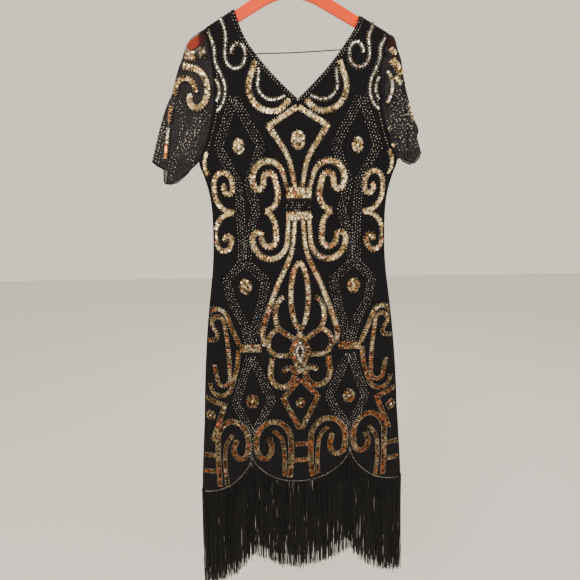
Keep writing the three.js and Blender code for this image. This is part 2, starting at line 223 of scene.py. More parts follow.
GRIDS = {side: skin_grid(side) for side in SIDE_Y}


def arc_length(side, depth):
    """From the centre line round to the side seam or armhole."""
    return np.interp(depth, DEPTHS, GRIDS[side]["length"])


def read_grid(side, fraction, depth):
    grid = GRIDS[side]
    row = np.clip(depth / DEPTH_STEP, 0, len(DEPTHS) - 1.001)
    col = np.clip(fraction, 0, 1) * (AROUND - 1.001)
    r, c = row.astype(int), col.astype(int)
    fr, fc = row - r, col - c
    found = []
    for key in ("x", "y"):
        a = grid[key]
        top = a[r, c] * (1 - fc) + a[r, c + 1] * fc
        low = a[r + 1, c] * (1 - fc) + a[r + 1, c + 1] * fc
        found.append(top * (1 - fr) + low * fr)
    return found


# Soft creases: start and end as (u, depth), width across, height (minus is a trough).
CREASES = {
    "front": [
        ((-160, 300), (-60, 345), 16, 2.2), ((165, 296), (80, 360), 18, 2.0),
        ((-172, 335), (-95, 392), 13, -2.0), ((170, 345), (110, 400), 14, -1.8),
        ((-150, 455), (-178, 640), 17, 2.4), ((-120, 520), (-146, 760), 20, -2.0),
        ((132, 480), (168, 700), 20, 2.2), ((96, 560), (118, 800), 22, -1.8),
        ((-60, 620), (-74, 905), 24, 2.2), ((34, 650), (42, 930), 26, -1.8),
        ((-196, 660), (-206, 960), 15, 2.6), ((188, 640), (205, 930), 16, 2.4),
        ((-30, 190), (-110, 262), 22, 1.6), ((40, 188), (118, 250), 20, 1.4),
        ((-168, 720), (-174, 1000), 14, -2.2), ((150, 760), (158, 980), 15, -2.0),
        ((2, 380), (-14, 560), 26, 1.2), ((-100, 790), (-108, 960), 16, 1.6),
    ],
    "back": [
        ((-150, 296), (-70, 350), 17, 2.0), ((155, 300), (66, 340), 16, 2.2),
        ((-165, 350), (-100, 402), 14, -1.8), ((168, 338), (90, 396), 13, -2.0),
        ((-130, 470), (-160, 700), 20, 2.2), ((148, 460), (172, 650), 18, 2.4),
        ((-92, 560), (-110, 820), 22, -2.0), ((118, 540), (140, 780), 20, -1.8),
        ((20, 600), (30, 900), 26, 2.0), ((-34, 660), (-44, 940), 24, -1.6),
        ((-186, 650), (-204, 950), 16, 2.2), ((194, 670), (206, 940), 15, 2.4),
        ((-40, 240), (-120, 290), 22, 1.4), ((44, 242), (112, 282), 20, 1.4),
        ((160, 740), (166, 1000), 14, -2.0), ((-150, 770), (-160, 990), 15, -2.2),
    ],
}


def crease_height(side, u, depth):
    """Height of the creases and of the cloth's slow unevenness, fading out at the side."""
    total = 0.7 * np.sin(u / 37 + depth / 83) * np.sin(depth / 61 - u / 90 + 1.3)
    for (u0, d0), (u1, d1), width, height in CREASES[side]:
        run = math.hypot(u1 - u0, d1 - d0)
        along = ((u - u0) * (u1 - u0) + (depth - d0) * (d1 - d0)) / run**2
        across = ((u - u0) * (d1 - d0) - (depth - d0) * (u1 - u0)) / run
        ends = smoothstep(along, -0.12, 0.25) * (1 - smoothstep(along, 0.7, 1.12))
        total = total + height * ends * np.exp(-((across / width) ** 2))
    edge = 1 - np.abs(u) / arc_length(side, depth)
    neck = smoothstep(depth, 40, 200)
    return total * smoothstep(edge, 0.0, 0.12) * neck


def skin_point(side, u, depth):
    """The cloth's place in metres at (u, depth). Past the side seam it goes on round."""
    u, depth = np.broadcast_arrays(np.asarray(u, float), np.asarray(depth, float))
    own, other = arc_length(side, depth), arc_length(OTHER[side], depth)
    over = np.abs(u) > own
    x1, y1 = read_grid(side, np.abs(u) / own, depth)
    x2, y2 = read_grid(OTHER[side], 1 - (np.abs(u) - own) / other, depth)
    x, y = np.where(over, x2, x1), np.where(over, -y2, y1)
    y = y + np.where(over, 0, crease_height(side, u, depth))
    return hang(x * np.sign(u), SIDE_Y[side] * y, depth)


def skin(side, u, depth, lift=0.0):
    """Place, outward normal, and the directions along u and down, all in metres."""
    u, depth = np.asarray(u, float), np.asarray(depth, float)
    along = skin_point(side, u + SKIN_STEP, depth) - skin_point(side, u - SKIN_STEP, depth)
    down = skin_point(side, u, depth + SKIN_STEP) - skin_point(side, u, depth - SKIN_STEP)
    normal = np.cross(along, down) * SIDE_Y[side] * -1
    normal /= np.maximum(np.linalg.norm(normal, axis=-1, keepdims=True), 1e-12)
    before_seam = np.abs(u) < arc_length(side, depth) * 0.97
    inward = (normal[..., 1] * SIDE_Y[side] < 0) & before_seam
    normal *= np.where(inward, -1, 1)[..., None]
    along /= np.linalg.norm(along, axis=-1, keepdims=True)
    down /= np.linalg.norm(down, axis=-1, keepdims=True)
    return skin_point(side, u, depth) + normal * lift * MM, normal, along, down


# ---------------------------------------------------------------- meshes
WELD_DISTANCE = 0.00004  # metres


def new_object(name, verts, faces, material, smooth=True):
    """A mesh of one material. faces is an array, or a list if their corners differ in number."""
    mesh = bpy.data.meshes.new(name)
    face_list = faces.tolist() if isinstance(faces, np.ndarray) else faces
    mesh.from_pydata(np.asarray(verts).tolist(), [], face_list)
    mesh.materials.append(material)
    mesh.polygons.foreach_set("use_smooth", [smooth] * len(mesh.polygons))
    mesh.update()
    obj = bpy.data.objects.new(name, mesh)
    bpy.context.scene.collection.objects.link(obj)
    return obj


def weld(obj):
    """Joins points that share a place, so that the halves of a panel are one sheet."""
    bm = bmesh.new()
    bm.from_mesh(obj.data)
    bmesh.ops.remove_doubles(bm, verts=bm.verts, dist=WELD_DISTANCE)
    bm.to_mesh(obj.data)
    bm.free()


def solidify(obj, thickness):
    """Gives a sheet its thickness, inwards from the side that shows."""
    modifier = obj.modifiers.new("thickness", "SOLIDIFY")
    modifier.thickness = thickness * MM
    modifier.offset = -1


def grid_faces(rows, cols, flip):
    a = np.arange((rows - 1) * cols).reshape(rows - 1, cols)[:, :-1].ravel()
    quads = np.stack([a, a + 1, a + cols + 1, a + cols], 1)
    return quads[:, ::-1] if flip else quads


def piece(obj):
    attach(obj, "root")
    return obj


# ---------------------------------------------------------------- materials
def new_material(name, color, roughness, metallic=0.0, specular=0.5):
    material = bpy.data.materials.new(name)
    material.use_nodes = True
    shader = material.node_tree.nodes["Principled BSDF"]
    shader.inputs["Base Color"].default_value = (*color, 1)
    shader.inputs["Roughness"].default_value = roughness
    shader.inputs["Metallic"].default_value = metallic
    shader.inputs["Specular IOR Level"].default_value = specular
    return material, material.node_tree, shader


def add_node(tree, kind, **values):
    """A node with its plain settings and, by input name, its unlinked values."""
    node = tree.nodes.new(kind)
    for name, value in values.items():
        if name in node.inputs:
            node.inputs[name].default_value = value
        else:
            setattr(node, name, value)
    return node


def math_node(tree, operation, a, b):
    node = add_node(tree, "ShaderNodeMath", operation=operation)
    for socket, value in zip(node.inputs, (a, b)):
        if isinstance(value, (int, float)):
            socket.default_value = value
        else:
            tree.links.new(value, socket)
    return node.outputs[0]


def object_axes(tree):
    """Where a point lies on its object, as outputs named X, Y and Z."""
    coords = add_node(tree, "ShaderNodeTexCoord").outputs["Object"]
    split = tree.nodes.new("ShaderNodeSeparateXYZ")
    tree.links.new(coords, split.inputs[0])
    return split.outputs


def knit_height(tree, pitch):
    """A small diamond net in the plane of the dress, as a height from 0 to 1."""
    axes = object_axes(tree)
    around = math_node(tree, "ADD", axes["X"], axes["Y"])
    waves = []
    for direction in ("ADD", "SUBTRACT"):
        slant = math_node(tree, direction, around, axes["Z"])
        phase = math_node(tree, "MULTIPLY", slant, math.pi / (pitch * MM))
        wave = math_node(tree, "ABSOLUTE", math_node(tree, "SINE", phase, 0.0), 0.0)
        waves.append(wave)
    return math_node(tree, "MAXIMUM", *[math_node(tree, "SUBTRACT", 1.0, w) for w in waves])


def mottle(tree, scale, detail=3.0):
    coords = add_node(tree, "ShaderNodeTexCoord").outputs["Object"]
    texture = add_node(tree, "ShaderNodeTexNoise", Scale=scale, Detail=detail, Roughness=0.6)
    tree.links.new(coords, texture.inputs["Vector"])
    return texture.outputs["Fac"]


def color_ramp(tree, factor, stops):
    """A colour between two stops, each a factor and its colour."""
    ramp = tree.nodes.new("ShaderNodeValToRGB")
    for element, (position, color) in zip(ramp.color_ramp.elements, stops):
        element.position = position
        element.color = (*color, 1)
    tree.links.new(factor, ramp.inputs[0])
    return ramp.outputs[0]


def add_bump(tree, shader, height, distance, strength=0.6):
    bump = add_node(tree, "ShaderNodeBump", Strength=strength, Distance=distance * MM)
    tree.links.new(height, bump.inputs["Height"])
    tree.links.new(bump.outputs[0], shader.inputs["Normal"])


def color_spots(tree, shader, factor, stops):
    """Colours a material along the stops, by the factor."""
    tree.links.new(color_ramp(tree, factor, stops), shader.inputs["Base Color"])


def rough_spots(tree, shader, factor, spread, least):
    """Roughness from least to least + spread, by the factor."""
    rough = math_node(tree, "ADD", math_node(tree, "MULTIPLY", factor, spread), least)
    tree.links.new(rough, shader.inputs["Roughness"])


def tint_node(tree):
    """The colour of each sequin or bead, which its mesh carries."""
    return add_node(tree, "ShaderNodeAttribute", attribute_name="tint").outputs["Color"]


def mesh_over_knit():
    material, tree, shader = new_material("mesh_over_knit", (0.004, 0.004, 0.005), 0.85, specular=0.12)
    shader.inputs["Sheen Weight"].default_value = 0.015
    shader.inputs["Sheen Roughness"].default_value = 0.5
    net = knit_height(tree, 1.3)
    shade = math_node(tree, "MULTIPLY", net, math_node(tree, "ADD", mottle(tree, 38), 0.35))
    stops = [(0.0, (0.0016, 0.0014, 0.002)), (0.9, (0.0095, 0.0082, 0.0105))]
    color_spots(tree, shader, shade, stops)
    add_bump(tree, shader, net, 0.35)
    return material


# The right sleeve's net is pulled thin over the hanger's tip: where this starts and is full,
# in metres, and how much of the net's cover is lost there.
THIN_BETWEEN = {"Z": (-0.214, -0.206), "X": (-0.177, -0.185)}
THIN_SHARE = 0.55


def sheer_mesh():
    material, tree, shader = new_material("sheer_mesh", (0.008, 0.007, 0.009), 0.8, specular=0.15)
    net = knit_height(tree, 1.5)
    cover = math_node(tree, "ADD", math_node(tree, "MULTIPLY", net, 0.45), 0.24)
    patch = math_node(tree, "MULTIPLY", mottle(tree, 30), 0.3)
    axes = object_axes(tree)
    near_tip = THIN_SHARE
    for axis, (start, end) in THIN_BETWEEN.items():
        ramp = add_node(tree, "ShaderNodeMapRange", **{"From Min": start, "From Max": end})
        tree.links.new(axes[axis], ramp.inputs["Value"])
        near_tip = math_node(tree, "MULTIPLY", ramp.outputs[0], near_tip)
    full = math_node(tree, "ADD", cover, patch)
    left = math_node(tree, "SUBTRACT", 1.0, near_tip)
    tree.links.new(math_node(tree, "MULTIPLY", full, left), shader.inputs["Alpha"])
    color_spots(tree, shader, net, [(0.0, (0.004, 0.0035, 0.0045)), (1.0, (0.022, 0.018, 0.021))])
    add_bump(tree, shader, net, 0.3)
    return material


def fringe_cord():
    material, tree, shader = new_material("fringe_cord", (0.004, 0.004, 0.0045), 0.45, specular=0.26)
    axes = object_axes(tree)
    across = math_node(tree, "MULTIPLY", axes["X"], 2.2)
    slant = math_node(tree, "ADD", axes["Z"], across)
    twist = math_node(tree, "SINE", math_node(tree, "MULTIPLY", slant, math.pi / (0.9 * MM)), 0.0)
    stops = [(0.3, (0.0018, 0.0018, 0.0022)), (0.75, (0.009, 0.0085, 0.0095))]
    color_spots(tree, shader, mottle(tree, 160), stops)
    add_bump(tree, shader, twist, 0.25, 0.5)
    return material


DARK_REFLECTION_SHARE = 0.55  # how far patches of painted dark reflection darken a sequin's colour


def sequin_foil():
    material, tree, shader = new_material("sequin_foil", (0.8, 0.66, 0.42), 0.3, 0.85, 0.6)
    mix = add_node(tree, "ShaderNodeMix", data_type="RGBA", blend_type="MULTIPLY")
    mix.inputs["Factor"].default_value = DARK_REFLECTION_SHARE
    tree.links.new(tint_node(tree), mix.inputs[6])
    # Painted dark reflections: noise patches that darken the foil's colour.
    painted_dark_reflections = color_ramp(tree, mottle(tree, 420, 2.0), [(0.25, (0.35, 0.3, 0.25)), (0.62, (1, 1, 1))])
    tree.links.new(painted_dark_reflections, mix.inputs[7])
    tree.links.new(mix.outputs[2], shader.inputs["Base Color"])
    rough_spots(tree, shader, mottle(tree, 300), 0.3, 0.14)
    return material


def bead_glass():
    material, tree, shader = new_material("bead_glass", (0.6, 0.6, 0.6), 0.16, 0.15, 0.8)
    tree.links.new(tint_node(tree), shader.inputs["Base Color"])
    rough_spots(tree, shader, mottle(tree, 260), 0.2, 0.06)
    return material


def orange_plastic():
    material, tree, shader = new_material("orange_plastic", (0.9, 0.06, 0.0), 0.42, specular=0.28)
    stops = [(0.3, (0.82, 0.045, 0.0)), (0.7, (0.94, 0.066, 0.0))]
    color_spots(tree, shader, mottle(tree, 14), stops)
    scuffs = mottle(tree, 190, 5.0)
    rough_spots(tree, shader, scuffs, 0.22, 0.24)
    add_bump(tree, shader, scuffs, 0.12, 0.35)
    return material


def woven_elastic():
    material, tree, shader = new_material("woven_elastic", (0.012, 0.012, 0.014), 0.7, specular=0.35)
    coords = add_node(tree, "ShaderNodeTexCoord").outputs["Object"]
    weave = add_node(tree, "ShaderNodeTexWave", Scale=420, Distortion=1.2, bands_direction="X")
    tree.links.new(coords, weave.inputs["Vector"])
    stops = [(0.1, (0.006, 0.006, 0.007)), (0.9, (0.035, 0.033, 0.036))]
    color_spots(tree, shader, weave.outputs["Fac"], stops)
    add_bump(tree, shader, weave.outputs["Fac"], 0.3)
    return material


CLOTH = mesh_over_knit()
SHEER = sheer_mesh()
CORD = fringe_cord()
SEQUIN = sequin_foil()
BEAD = bead_glass()
PLASTIC = orange_plastic()
ELASTIC = woven_elastic()


# ---------------------------------------------------------------- dress panels
SHELL_ROWS_ARM = 46
SHELL_ROWS_BODY = 92
SHELL_ROWS_HEM = 16
SHELL_COLS = 44
LAST_LEVEL = 900.0  # below this depth the rows follow the scalloped hem
# Powers that crowd a panel's points towards its side and its rows towards the shoulder.
SIDE_CROWDING = 1.35
SHOULDER_CROWDING = 1.15
PANEL_THICKNESS = 0.9


def row_depths(side, outer):
    """Depth on the neck edge or centre line of the row that meets the outer edge there."""
    arm = np.interp(outer, [r[0] for r in ARM_ROWS], [r[1] for r in ARM_ROWS])
    neck = NECK_DEPTH[side]
    inner = neck * np.minimum(arm, 1) + (UNDERARM_CENTRE - neck) * np.maximum(arm - 1, 0)
    body = np.interp(
        outer, [UNDERARM] + [r[1] for r in BODY_ROWS], [UNDERARM_CENTRE] + [r[0] for r in BODY_ROWS]
    )
    return np.where(outer <= UNDERARM, inner, body)


def dress_shell(side):
    """One panel, from the shoulders to the scalloped hem, as a creased sheet."""
    share = 1 - (1 - np.linspace(0, 1, SHELL_COLS)) ** SIDE_CROWDING
    top = ARM_ROWS[0][0]
    arm = top + (UNDERARM - top) * np.linspace(0, 1, SHELL_ROWS_ARM) ** SHOULDER_CROWDING
    levels = np.concatenate([arm, np.linspace(UNDERARM, LAST_LEVEL, SHELL_ROWS_BODY)[1:]])
    verts, faces, start = [], [], 0
    for sign in (-1, 1):
        us, ds = [], []
        for outer in levels:
            inner = row_depths(side, outer)
            depth = inner + (outer - inner) * share
            start_u = neck_half(inner, side) if outer < UNDERARM else 0.0
            us.append(start_u * (1 - share) + arc_length(side, depth) * share)
            ds.append(depth)
        for step in range(1, SHELL_ROWS_HEM + 1):
            part = step / SHELL_ROWS_HEM
            depth = LAST_LEVEL + (scallop(HEM, HEM["half"] * share) - LAST_LEVEL) * part
            us.append(arc_length(side, depth) * share)
            ds.append(depth)
        points = skin_point(side, sign * np.array(us), np.array(ds))
        rows, cols = points.shape[:2]
        verts.append(points.reshape(-1, 3))
        faces.append(grid_faces(rows, cols, sign * SIDE_Y[side] > 0) + start)
        start += rows * cols
    obj = new_object(f"{side}_panel", np.concatenate(verts), np.concatenate(faces), CLOTH)
    weld(obj)
    solidify(obj, PANEL_THICKNESS)
    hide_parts(f"dress_{side}")
    return piece(obj)


PANELS = {side: dress_shell(side) for side in SIDE_Y}


# ---------------------------------------------------------------- sleeves
# x is the side a sleeve is on, and open how far its hem stands open to the front and back. fold
# is its outer edge and hem its lower one, as (distance from the dress's centre line, depth).
# folds are soft waves down its front: place and width as fractions of the way from the outer
# edge to the underarm, with the height in millimetres between them.
SLEEVES = [
    {
        "name": "right", "x": -1, "open": 13.0,
        "fold": [(181.4, 34), (199, 42.5), (211, 51), (222, 66), (230, 86), (238, 100), (246, 119),
                 (255, 146), (266, 166), (278, 194), (291, 231), (306, 277)],
        "hem": [(306, 277), (293, 287), (279, 297), (280, 322), (262, 321), (246, 311), (229, 298)],
        "folds": [(0.34, 4.2, 0.05), (0.5, -4.4, 0.05), (0.68, 3.6, 0.05), (0.84, -2.6, 0.04)],
    },
    {
        "name": "left", "x": 1, "open": 15.0,
        "fold": [(181.4, 34), (193, 39.5), (200, 60), (207, 82), (211, 106), (218, 137), (229, 172),
                 (239, 199), (249, 221), (246, 232), (256, 265)],
        "hem": [(256, 265), (248, 280), (239, 289), (226, 284), (214, 276)],
        "folds": [(0.22, 3.6, 0.06), (0.42, -4.0, 0.06), (0.62, 3.8, 0.06), (0.8, -3.0, 0.05)],
    },
]
SLEEVE_RINGS = 40
SLEEVE_ROUND = 44  # points down one side of a ring
SLEEVE_BELLY = 4.0
UNDERARM_CLEARANCE = 1.3
ARMHOLE_CLEARANCE = 0.4
SLEEVE_THICKNESS = 0.5
BACK_FOLDS = 0.8  # the back's folds beside the front's


def plan_curve(points, count):
    """A smooth curve through points in the plane, evenly sampled."""
    points = np.array(points, float)
    padded = np.vstack([2 * points[0] - points[1], points, 2 * points[-1] - points[-2]])
    dense = []
    for i in range(len(points) - 1):
        a, b, c, d = padded[i : i + 4]
        t = np.linspace(0, 1, 24, endpoint=False)[:, None]
        dense.append(
            0.5 * (2 * b + (c - a) * t + (2 * a - 5 * b + 4 * c - d) * t**2
                   + (3 * b - a - 3 * c + d) * t**3)
        )
    dense = np.vstack([*dense, points[-1:]])
    run = np.concatenate([[0], np.cumsum(np.linalg.norm(np.diff(dense, axis=0), axis=1))])
    even = np.linspace(0, run[-1], count)
    return np.stack([np.interp(even, run, dense[:, k]) for k in range(dense.shape[1])], 1)


def sleeve_shell(spec):
    """One sleeve as a soft tube: down its front from the shoulder fold, up its back."""
    fold = plan_curve(spec["fold"], SLEEVE_RINGS)
    hem = plan_curve(spec["hem"], SLEEVE_ROUND)
    along = np.linspace(0, 1, SLEEVE_ROUND)
    depth0 = ARMHOLE_TOP + (UNDERARM - ARMHOLE_TOP) * along
    edge_x = half_width(depth0) + ARMHOLE_CLEARANCE + UNDERARM_CLEARANCE * (along > 0.999)
    rings = []
    for k in range(SLEEVE_RINGS):
        down = k / (SLEEVE_RINGS - 1)
        bend = fold[k] - (fold[0] + (fold[-1] - fold[0]) * down)
        flat = np.stack([edge_x, depth0], 1) * (1 - down) + hem * down
        flat += bend * ((1 - along) ** 1.3)[:, None]
        opening = np.sqrt(np.sin(math.pi * np.clip(along, 0, 1)))
        stand = stand_at(depth0) * np.sqrt(np.clip(1 - (1 - np.clip(along / 0.045, 0, 1)) ** 2, 0, 1))
        waves = sum(h * np.exp(-(((along - a) / w) ** 2)) for a, h, w in spec["folds"])
        rest = SEAM_GAP / 2 + stand * (1 - down**1.5) + spec["open"] * opening * down**1.5
        rest += SLEEVE_BELLY * math.sin(math.pi * down) * opening
        front = rest + waves * down**1.3
        back = rest + waves[::-1] * BACK_FOLDS * down**1.3
        front[0] = front[-1] = 0.0
        x, depth = spec["x"] * flat[:, 0], flat[:, 1]
        rings.append(np.vstack([hang(x, -front, depth), hang(x, back, depth)[-2:0:-1]]))
    points = np.array(rings)
    rows, cols = points.shape[:2]
    closed = np.concatenate([points, points[:, :1]], 1)
    faces = grid_faces(rows, cols + 1, spec["x"] > 0)
    obj = new_object(f"sleeve_shell_{spec['name']}", closed.reshape(-1, 3), faces, SHEER)
    weld(obj)
    surface = BVHTree.FromPolygons(closed.reshape(-1, 3).tolist(), faces.tolist())
    solidify(obj, SLEEVE_THICKNESS)
    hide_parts(f"sleeve_{spec['name']}")
    return piece(obj), surface, points[-1]


SLEEVE_BUILT = {spec["name"]: sleeve_shell(spec) for spec in SLEEVES}


def sleeve_place(name, side, x, depth, lift=0.0):
    """Place and normals on a sleeve at (x, depth) as seen from the front or the back."""
    surface = SLEEVE_BUILT[name][1]
    away = SIDE_Y[side]
    kept, places, normals = [], [], []
    for i, (px, pd) in enumerate(zip(x, depth)):
        origin = Vector(hang(px, away * 300.0, pd))
        hit, normal, _, _ = surface.ray_cast(origin, Vector((0, -away, 0)))
        if hit is None:
            continue
        if normal.y * away < 0:
            normal = -normal
        kept.append(i)
        places.append(hit + normal * lift * MM)
        normals.append(normal)
    return kept, np.array(places).reshape(-1, 3), np.array(normals).reshape(-1, 3)


# ---------------------------------------------------------------- sequins and beads
TONES = {
    "silver": (0.93, 0.90, 0.82),
    "pale": (0.98, 0.82, 0.52),
    "champagne": (0.86, 0.62, 0.30),
    "bronze": (0.30, 0.17, 0.065),
    "copper": (0.90, 0.27, 0.06),
    "rose": (0.86, 0.26, 0.16),
    "brown": (0.09, 0.045, 0.02),
}
# For each stretch of the dress, the share of each tone: shoulders, bodice, hips, hem.
TONE_MIX = [
    (0, {"silver": 6, "pale": 3, "champagne": 1}),
    (95, {"silver": 2, "pale": 4, "champagne": 4, "bronze": 1}),
    (180, {"pale": 4, "champagne": 6, "bronze": 1.8}),
    (430, {"pale": 2.6, "champagne": 5, "bronze": 3, "rose": 0.5}),
    (620, {
        "pale": 2.2, "champagne": 2.6, "bronze": 3.4, "rose": 1.1, "copper": 0.8, "silver": 1.4,
        "brown": 1,
    }),
    (850, {"pale": 1.5, "champagne": 2.4, "bronze": 3, "rose": 1.4, "copper": 2.0, "brown": 1.4}),
    (1100, {"pale": 1.5, "champagne": 2.2, "bronze": 3, "rose": 1.4, "copper": 2.2, "brown": 1.4}),
]
# Painted glints: how much brighter or darker single sequins are painted beside their neighbours, as they face
# different ways.
GLINTS = np.array([0.12, 0.42, 0.75, 0.95, 1.2])
GLINT_SHARES = np.array([0.17, 0.22, 0.26, 0.22, 0.13])
# Painted shade: between these depths the work's colour is darkened towards the bottom, down to this share of
# its brightness.
PAINTED_SHADE_START, PAINTED_SHADE_END, PAINTED_SHADE_TO = 430.0, 780.0, 0.42


def tone_at(u, depth, spread, patch=34.0):
    """A tone picked in slow patches along the work, with painted glints on single sequins and painted shade
    lower down.
    """
    low = max(i for i, (start, _) in enumerate(TONE_MIX) if start <= depth or i == 0)
    high = min(low + 1, len(TONE_MIX) - 1)
    gap = max(TONE_MIX[high][0] - TONE_MIX[low][0], 1)
    blend = min(max((depth - TONE_MIX[low][0]) / gap, 0), 1)
    names = list(TONES)
    shares = np.array([
        TONE_MIX[low][1].get(n, 0) * (1 - blend) + TONE_MIX[high][1].get(n, 0) * blend for n in names
    ])
    shares = np.cumsum(shares / shares.sum())
    wander = noise.noise((u / patch, depth / patch, 3.7)) * 0.9 + 0.5
    pick = (wander + spread * RNG.normal()) % 1.0
    name = names[int(np.searchsorted(shares, pick, side="right").clip(0, len(names) - 1))]
    # Painted shade: darker towards the bottom.
    painted_shade = 1 - (1 - PAINTED_SHADE_TO) * smoothstep(depth, PAINTED_SHADE_START, PAINTED_SHADE_END)
    return np.minimum(np.array(TONES[name]) * RNG.choice(GLINTS, p=GLINT_SHARES) * painted_shade, 1.0)


class Scatter:
    """Collects many small shapes and joins them into one mesh."""

    def __init__(self, template, faces):
        self.template = np.array(template, float)
        self.faces = np.array(faces)
        self.verts, self.colors, self.count = [], [], 0

    def add(self, places, axes, sizes, colors):
        """places (n,3); axes three (n,3) arrays; sizes (n,) in metres; colors (n,3)."""
        frames = np.stack(axes, 1)
        local = self.template[None] * np.asarray(sizes)[:, None, None]
        self.verts.append(np.einsum("nvk,nkx->nvx", local, frames) + places[:, None])
        self.colors.append(np.repeat(np.asarray(colors)[:, None], len(self.template), 1))
        self.count += len(places)

    def build(self, name, material, slot):
        verts = np.concatenate(self.verts)
        offsets = np.arange(len(verts))[:, None, None] * len(self.template)
        faces = (self.faces[None] + offsets).reshape(-1, self.faces.shape[1])
        obj = new_object(name, verts.reshape(-1, 3), faces, material)
        tint = obj.data.color_attributes.new("tint", "FLOAT_COLOR", "POINT")
        colors = np.concatenate(self.colors).reshape(-1, 3)
        full = np.concatenate([colors, np.ones((len(colors), 1))], 1)
        tint.data.foreach_set("color", full.astype(np.float32).ravel())
        return piece(obj)


def sequin_template(sides=8, cup=0.16):
    ring = [(math.cos(a), math.sin(a), cup) for a in np.arange(sides) * 2 * math.pi / sides]
    return [(0, 0, 0), *ring], [(0, 1 + k, 1 + (k + 1) % sides) for k in range(sides)]


def bead_template():
    verts = [(1, 0, 0), (-1, 0, 0), (0, 1, 0), (0, -1, 0), (0, 0, 1), (0, 0, -1)]
    faces = [(0, 2, 4), (2, 1, 4), (1, 3, 4), (3, 0, 4), (2, 0, 5), (1, 2, 5), (3, 1, 5), (0, 3, 5)]
    return verts, faces


def across_of(normals, along):
    across = np.cross(normals, along)
    return across / np.maximum(np.linalg.norm(across, axis=1, keepdims=True), 1e-9)


def lay_sequins(scatter, places, normals, along, tones, radius, lean=0.14, scatter_tilt=0.17):
    """Overlapping discs that lean back along the row and glint unevenly."""
    n = len(places)
    if n == 0:
        return
    across = across_of(normals, along)
    tip = lean + scatter_tilt * RNG.normal(size=n)
    roll = scatter_tilt * RNG.normal(size=n)
    up = normals - along * tip[:, None] + across * roll[:, None]
    up /= np.linalg.norm(up, axis=1, keepdims=True)
    side = across_of(up, along)
    front = np.cross(side, up)
    size = radius * MM * (1 + 0.06 * RNG.normal(size=n))
    scatter.add(places, (front, side, up), size, tones)


def lay_beads(scatter, places, normals, tones, radius):
    n = len(places)
    if n == 0:
        return
    helper = np.tile((0.31, 0.0, 0.95), (n, 1))
    side = across_of(normals, helper)
    front = np.cross(side, normals)
    scatter.add(places, (front, side, normals), radius * MM * (1 + 0.1 * RNG.normal(size=n)), tones)


# ---------------------------------------------------------------- ornament paths
def arc(cu, cd, ru, rd, start, end):
    """Points on an oval arc. Angles in degrees: 0 is outwards, 90 is down, 270 is up."""
    count = max(3, int(abs(end - start) / 14) + 2)
    angles = np.radians(np.linspace(start, end, count))
    return [(cu + ru * math.cos(a), cd + rd * math.sin(a)) for a in angles]


def sharp(*points):
    """Straight lines between points, with the corners kept."""
    dense = []
    for (u0, d0), (u1, d1) in zip(points, points[1:]):
        steps = max(2, int(math.hypot(u1 - u0, d1 - d0) / 2))
        dense += [(u0 + (u1 - u0) * k / steps, d0 + (d1 - d0) * k / steps) for k in range(steps)]
    return np.array([*dense, points[-1]])


def flowing(points):
    return plan_curve(points, max(8, int(path_length(np.array(points, float)) / 2)))


def path_length(points):
    return float(np.linalg.norm(np.diff(points, axis=0), axis=1).sum())


def resample(path, pitch):
    """Points every pitch along a path, and the direction there."""
    run = np.concatenate([[0], np.cumsum(np.linalg.norm(np.diff(path, axis=0), axis=1))])
    count = max(2, int(run[-1] / pitch) + 1)
    even = np.linspace(0, run[-1], count)
    points = np.stack([np.interp(even, run, path[:, k]) for k in range(2)], 1)
    ways = np.gradient(points, axis=0)
    ways /= np.maximum(np.linalg.norm(ways, axis=1, keepdims=True), 1e-9)
    return points, ways


